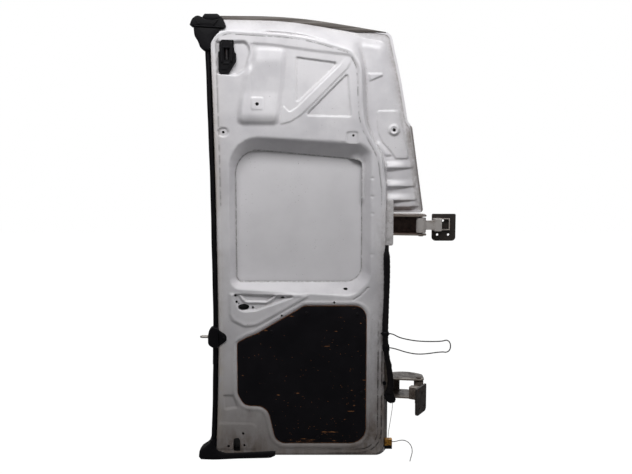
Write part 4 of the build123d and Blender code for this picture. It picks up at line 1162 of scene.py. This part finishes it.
# %% Striker housing
block_loop = rounded(
    [(-8, 581), (-18, 576), (-24, 566), (-29, 544), (-29, 510), (-24, 502), (-15, 495), (-8, 492), (12, 490),
     (12, 574)],
    (6, 10, 10, 20, 20, 8, 8, 6, 4, 6),
)
flange_loop = rounded(
    [(8, 574), (20, 562), (42, 546), (47, 538), (47, 522), (42, 516), (23, 502), (8, 490)],
    (4, 20, 8, 8, 8, 8, 20, 4),
)
screw_loop = rounded([(30, 525), (40, 525), (40, 535), (30, 535)], 5)
moulded("striker_block", block_loop, (-8, 534), 60, 89, 1, 3, *PLASTIC, ["striker_housing"])
moulded("striker_flange", flange_loop, (20, 532), 72, 77, 3, 2, *PLASTIC)
moulded("striker_screw", screw_loop, (35, 530), 76, 80, 1, 1, *PLASTIC)

# %% [markdown]
# ## Conduit
#
# The loom runs down the hinge side in a tube wound with cloth tape. The tube follows points that are read from
# a smooth spline, and its radius rises along a spiral, one small step for each turn of tape. Two wraps round the
# same line hold the ends of the wire loop.

# %% The conduit's line
UPPER_PIN_UP, LOWER_PIN_UP = 1002.0, 312.0
CONDUIT_OUT = 84.3
CONDUIT_ROUTE = [
    (708, UPPER_PIN_UP - 80, CONDUIT_OUT), (713, UPPER_PIN_UP - 202, CONDUIT_OUT), (709, 660, CONDUIT_OUT),
    (706, 570, CONDUIT_OUT), (709, 495, CONDUIT_OUT), (719, LOWER_PIN_UP + 118, CONDUIT_OUT - 1),
    (730, LOWER_PIN_UP + 60, CONDUIT_OUT - 5), (732, LOWER_PIN_UP + 20, CONDUIT_OUT - 6),
    (727, LOWER_PIN_UP - 14, CONDUIT_OUT - 6),
]


def centre_line(name, points):
    """The points of a spline, read from a curve that has no thickness."""
    line = spline(name, points)
    mesh = bpy.data.meshes.new_from_object(line)
    found = np.empty(3 * len(mesh.vertices))
    mesh.vertices.foreach_get("co", found)
    bpy.data.objects.remove(line)
    bpy.data.meshes.remove(mesh)
    return found.reshape(-1, 3)


conduit_line = centre_line("conduit_line", place(*np.array(CONDUIT_ROUTE).T))
run = np.r_[0, np.cumsum(np.linalg.norm(np.diff(conduit_line, axis=0), axis=1))]
even = np.linspace(0, run[-1], 320)
conduit_line = resampled(even, run, conduit_line)
print("conduit", run[-1].round(3), "m long")

# %% Taped conduit and its wraps
TAPE_PITCH = 0.021
CONDUIT_RADIUS, TAPE_STEP = 0.0116, 0.0013
WRAPS = {"upper": (543, 562, 0.0156), "lower": (476, 509, 0.0148)}  # from, to and radius


def tube_along(points, radius, angle):
    """At each point of a line, a circle of that radius square to the line."""
    ahead = np.gradient(points, axis=0)
    ahead /= np.linalg.norm(ahead, axis=1, keepdims=True)
    side = np.cross(ahead, (0, -1, 0))
    side /= np.linalg.norm(side, axis=1, keepdims=True)
    front = np.cross(side, ahead)
    ring = np.cos(angle)[None, :, None] * side[:, None] + np.sin(angle)[None, :, None] * front[:, None]
    return points[:, None] + radius[..., None] * ring


angle = np.linspace(0, 2 * np.pi, 22, endpoint=False)
along = even[:, None]
winding = (along / TAPE_PITCH + angle / (2 * np.pi)) % 1.0
bundle = 1 + 0.07 * np.sin(along / 0.043) + 0.05 * np.sin(2 * angle + along / 0.09)
radius = (CONDUIT_RADIUS * bundle + TAPE_STEP * winding) * (0.4 + 0.6 * rises(along, 0, 0.05))
conduit = tube_along(conduit_line, radius, angle)
carried("taped_conduit", conduit, tape, "conduit_black", ["cable_conduit"], sharp=60)

line_upward = conduit_line[::-1]
share = np.linspace(-1, 1, 11)
for name, (low, high, wrap_radius) in WRAPS.items():
    wrap_up = low + (high - low) * (share + 1) / 2
    wrap_line = resampled(wrap_up, 1000 * line_upward[:, 2] - BOTTOM, line_upward)
    swollen = wrap_radius * (1 - 0.22 * share**4)[:, None] * (1 + 0.03 * np.sin(3 * angle))
    wrap = tube_along(wrap_line, swollen, angle)
    carried(f"conduit_wrap_{name}", wrap, *PLASTIC, ["conduit_clamps"])

# %% The conduit's tie and end
strut("conduit_tie", (687, 554), (724, 551), 2.6, 84, 94, *PLASTIC)
end_loop = rounded(
    [(712, 308), (742, 308), (748, 284), (755, 269), (751, 255), (731, 251), (714, 262), (706, 284)],
    (8, 8, 14, 8, 8, 14, 12, 12),
)
moulded("conduit_end", end_loop, (731, 280), 66, 82, 3, 6, rubber, "black_plastic", ["conduit_end_boot"])

# %% [markdown]
# ## Screws and clips
#
# What a lathe or a round mould made is a profile turned about an axis: the latch's screws, the eye beside the
# conduit's end and the clips of the trim board.

# %% Turned pieces
SCREW = [(0, 75.4), (2.0, 75.4), (2.4, 77.6), (4.6, 77.6), (5.4, 76.8), (5.4, 74.5), (0, 74.5)]  # radius, out
EYE = [(0, 77), (2.6, 77), (3.4, 84), (6.4, 85), (8.0, 82.5), (8.2, 72.4), (0, 72.4)]
CLIP = [
    (0, 73.2), (1.6, 73.1), (2.4, 73.7), (3.2, 74.0), (6.6, 73.3), (7.6, 72.4), (8.0, 71.5), (8.0, 71.0),
    (0, 71.0),
]
CLIPS_AT = [(381, 635), (591, 630), (234, 556), (611, 296), (426, 100)]


def turned(name, middle, profile, replaces=()):
    """A profile of radii and heights turned about an axis that stands on the door."""
    angle = np.linspace(0, 2 * np.pi, 28, endpoint=False)
    radius, out = np.array(profile, float).T[:, :, None]
    points = place(middle[0] + radius * np.cos(angle), middle[1] + radius * np.sin(angle), out)
    return ring_piece(name, points, *PLASTIC, replaces)


turned("latch_screw_left", (33.5, LATCH_UP + 3), SCREW)
turned("latch_screw_right", (91, LATCH_UP + 1), SCREW)
turned("conduit_eye", (706, 339), EYE)
for number, clip_at in enumerate(CLIPS_AT, 1):
    turned(f"trim_clip_{number}", clip_at, CLIP, ["trim_clips"])

# %% [markdown]
# ## Steel, rust and brass
#
# The hinges were zinc plated. The plating has gone dull, grease has turned to brown dirt, and rust comes through
# at edges and deep in the channel, whose darker colour is also painted shade. Plated metal is a Metallic surface,
# and dirt is not, so one mask drives colour, roughness and Metallic together.

# %% Hinge steel
RUST = tone(96, 58, 36)


def hinge_steel(name, clean, dirt, amount, metal, parts=()):
    """Plated steel under greasy dirt: patches of dirt take the metal away, and rust sits in their middle. Parts
    are other base colours, each with the function that says where on the hinge it lies."""
    made = Finish(name)
    patch = made.noise(26.0, 6.0, 0.68)
    fine = made.noise(150.0, 4.0, 0.6)
    greasy = made.soft(patch + 0.3 * fine, 1.05 - amount, 1.35 - amount)
    rust = made.soft(made.noise(48.0, 5.0, 0.7) + 0.2 * fine, 0.66, 0.82)
    colour = made.mix(clean, dirt, greasy)
    for other, where in parts:
        worn = made.mix(other, dirt, greasy * 0.4)
        colour = made.mix(colour, worn, where(made))
    made.colour(made.mix(colour, RUST, rust * 0.5)).rough(0.42 + 0.3 * greasy)
    made.feed("Metallic", metal - metal * made.soft(greasy + rust, 0.2, 1.0))
    return made.bumps(patch + 0.5 * fine, 0.0008, 0.6)


# %% Parts of a hinge that look different, by where they lie in metres
CHANNEL_START, EAR_FRONT, BOX_START, BOX_FRONT = -0.2125, -0.062, -0.0125, -0.020


def on_foot(made):
    """The foot of a bracket, left of where its channel starts."""
    return 1 - made.soft(made.axis("X"), CHANNEL_START, CHANNEL_START + 0.0015)


def on_front(made):
    """The front edges of a bracket's ears, nearest to the viewer, lighter than the channel behind them, whose
    darker colour is dirt and painted shade.
    """
    return 1 - made.soft(made.axis("Y"), EAR_FRONT, EAR_FRONT + 0.012)


def on_shaded_box(made):
    """The open box at the end of the arm, past the block, which gets a dark colour as painted shade."""
    return made.soft(made.axis("X"), BOX_START, BOX_START + 0.001)


def on_rim(made):
    """The front rim of that box, in a lighter colour."""
    return on_shaded_box(made) * (1 - made.soft(made.axis("Y"), BOX_FRONT + 0.0006, BOX_FRONT + 0.0012))


# %% Hinges, pins and bolt
# dirt and painted shade: both brackets keep a darker colour in the channel behind their lighter front edges
UPPER_BRACKET_PARTS = [(tone(128, 118, 110), on_front), (tone(206, 203, 204), on_foot)]
LOWER_BRACKET_PARTS = [(tone(116, 107, 98), on_front)]
# painted shade: the open box is dark brown, with a lighter front rim
UPPER_ARM_PARTS = [(tone(40, 33, 30), on_shaded_box), (tone(186, 178, 172), on_rim)]
STEELS = (  # name, clean and dirty colour, share of dirt, metal and parts, then the solids
    (("upper_bracket_steel", tone(96, 75, 66), tone(62, 48, 42), 0.5, 0.1, UPPER_BRACKET_PARTS),
     "upper_hinge_bracket"),
    (("lower_bracket_steel", tone(88, 79, 72), tone(48, 40, 35), 0.5, 0.1, LOWER_BRACKET_PARTS),
     "lower_hinge_bracket"),
    (("upper_arm_steel", tone(186, 181, 178), tone(120, 108, 98), 0.4, 0.2, UPPER_ARM_PARTS), "upper_leaf_arm"),
    (("lower_arm_steel", tone(120, 110, 102), tone(66, 56, 48), 0.55, 0.15), "lower_leaf_arm", "lower_hinge_pin"),
    (("greasy_dark_steel", tone(52, 45, 41), tone(34, 28, 25), 0.6, 0.1), "upper_leaf_plate", "lower_leaf_plate"),
    (("worn_bright_steel", tone(168, 163, 158), tone(84, 75, 68), 0.42, 0.4), "upper_hinge_pin", "striker_loop"),
    (("blackened_bolt_steel", tone(40, 37, 40), tone(20, 18, 20), 0.5, 0.3), "upper_latch_bolt"),
)
for steel, *solids in STEELS:
    refinish(hinge_steel(*steel), *solids)

# %% Brass connector
brass = Finish("tarnished_brass", Metallic=0.6)
tarnish = brass.noise(120.0, 5.0, 0.6)
brass.colour(brass.between(tone(176, 126, 46), tone(84, 56, 22), tarnish, 0.4, 0.7))
brass.rough(0.34 + 0.3 * tarnish)
refinish(brass, "connector_shell")

# %% [markdown]
# ## The trim board
#
# A sheet of hardboard with a black face closes the lower half. Loads have chipped it, and where the face is gone
# the brown fibre shows. A chip is a small thing with a place of its own, so it comes from Voronoi cells, one spot
# in each, rather than from the peaks of a cloudy noise, which would run together. Only at the foot, where things
# slid along the board, a stretched noise rubs long level streaks.

# %% Chips and where they lie
face = Finish("scuffed_black_board", Specular_IOR_Level=0.12)
cloud = face.noise(9.0, 5.0, 0.6)
ragged = face.noise(170.0, 5.0, 0.7)


def chips(scale, angle, stretch, size, keep):
    """Places where the face has come off: one spot in each Voronoi cell, long in one direction and ragged, kept
    where the cell's own random number is above a limit."""
    turned_to = {"Vector": face.where, "Rotation": (0, angle, 0), "Scale": stretch}
    cells = {"Vector": face.node("Mapping", {}, turned_to), "Scale": scale}
    spot = face.node("TexVoronoi", {}, cells, output="Distance") + 0.62 * (ragged - 0.5)
    pick = face.node("SeparateColor", {}, {0: face.node("TexVoronoi", {}, cells, output="Color")})
    return (1 - face.soft(spot, size * 0.6, size)) * (pick > keep)


def around(across, up, reach_across, reach_up):
    """1 at a place on the board, falling to 0 at an oval round it."""
    x = (face.axis("X") - (FREE_EDGE + across) / 1000) * (1000 / reach_across)
    z = (face.axis("Z") - (BOTTOM + up) / 1000) * (1000 / reach_up)
    return 1 - face.soft(x * x + z * z, 0.0, 1.0)


foot_of_board, right_middle = around(430, 110, 190, 110), around(520, 360, 150, 260)
busy = face.soft(cloud + 0.5 * foot_of_board + 0.2 * right_middle, 0.45, 0.95)
rubbed = face.soft(face.noise(90.0, 5.0, 0.7, (0.1, 1, 1.4)), 0.54, 0.64)
scuff = rubbed * (around(360, 92, 80, 16) + around(470, 118, 60, 24) + around(395, 125, 50, 18))
for kind in (
    (56.0, 0.06, (0.16, 1, 1), 0.15, 0.95 - 0.5 * foot_of_board - 0.08 * busy),
    (60.0, 0.9, (0.35, 1, 1), 0.15, 0.95 - 0.22 * busy),
    (64.0, 1.5, (0.25, 1, 1), 0.14, 0.96 - 0.2 * busy),
    (120.0, 0.6, (1, 0.8, 1), 0.2, 0.95 - 0.25 * busy),
):
    scuff += chips(*kind)

# %% Scuffed black board
BOARD_MIDDLE = (400, 360)
worn_to = face.between(tone(112, 72, 44), tone(188, 134, 88), ragged, 0.4, 0.65)
face_colour = face.between(tone(13, 12, 16), tone(22, 20, 24), cloud, 0.3, 0.8)
face_colour = face.mix(face_colour, worn_to, face.soft(scuff, 0.1, 0.9) * 0.9)
face.colour(face_colour).rough(0.42 + 0.2 * cloud)
face.bumps(face.noise(300.0, 3.0, 0.6), 0.0003, 0.6)
board_front, board_back = (-1000 * corner.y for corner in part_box("trim_board"))
moulded(
    "board_sheet", board_loop, BOARD_MIDDLE, board_back, board_front, 0, 0.8, face, "black_board",
    ["trim_board"],
)

# %% Raw edge of the board
EDGE_PROFILE = np.array([  # inwards from the board's outline, and out
    (1.0, 68.2), (-0.4, 68.2), (-0.5, 70.2), (0.0, 71.3), (1.4, 71.3), (1.8, 70.8),
])
fibre = Finish("raw_fibre_edge", Roughness=0.85)
fibre.colour(fibre.between(tone(138, 88, 50), tone(44, 29, 20), fibre.noise(160.0, 5.0, 0.65), 0.35, 0.65))
edge_ahead = np.roll(board_loop, -1, 0) - np.roll(board_loop, 1, 0)
edge_ahead /= np.linalg.norm(edge_ahead, axis=1, keepdims=True)
inward = np.stack([edge_ahead[:, 1], -edge_ahead[:, 0]], -1)
inward *= np.sign((inward * (board_loop.mean(0) - board_loop)).sum())
strip = board_loop[:, None] + EDGE_PROFILE[:, :1] * inward[:, None]
strip_points = place(strip[..., 0], strip[..., 1], EDGE_PROFILE[:, 1])
ring_piece("board_raw_edge", np.concatenate([strip_points, strip_points[:1]]), fibre, "black_board")
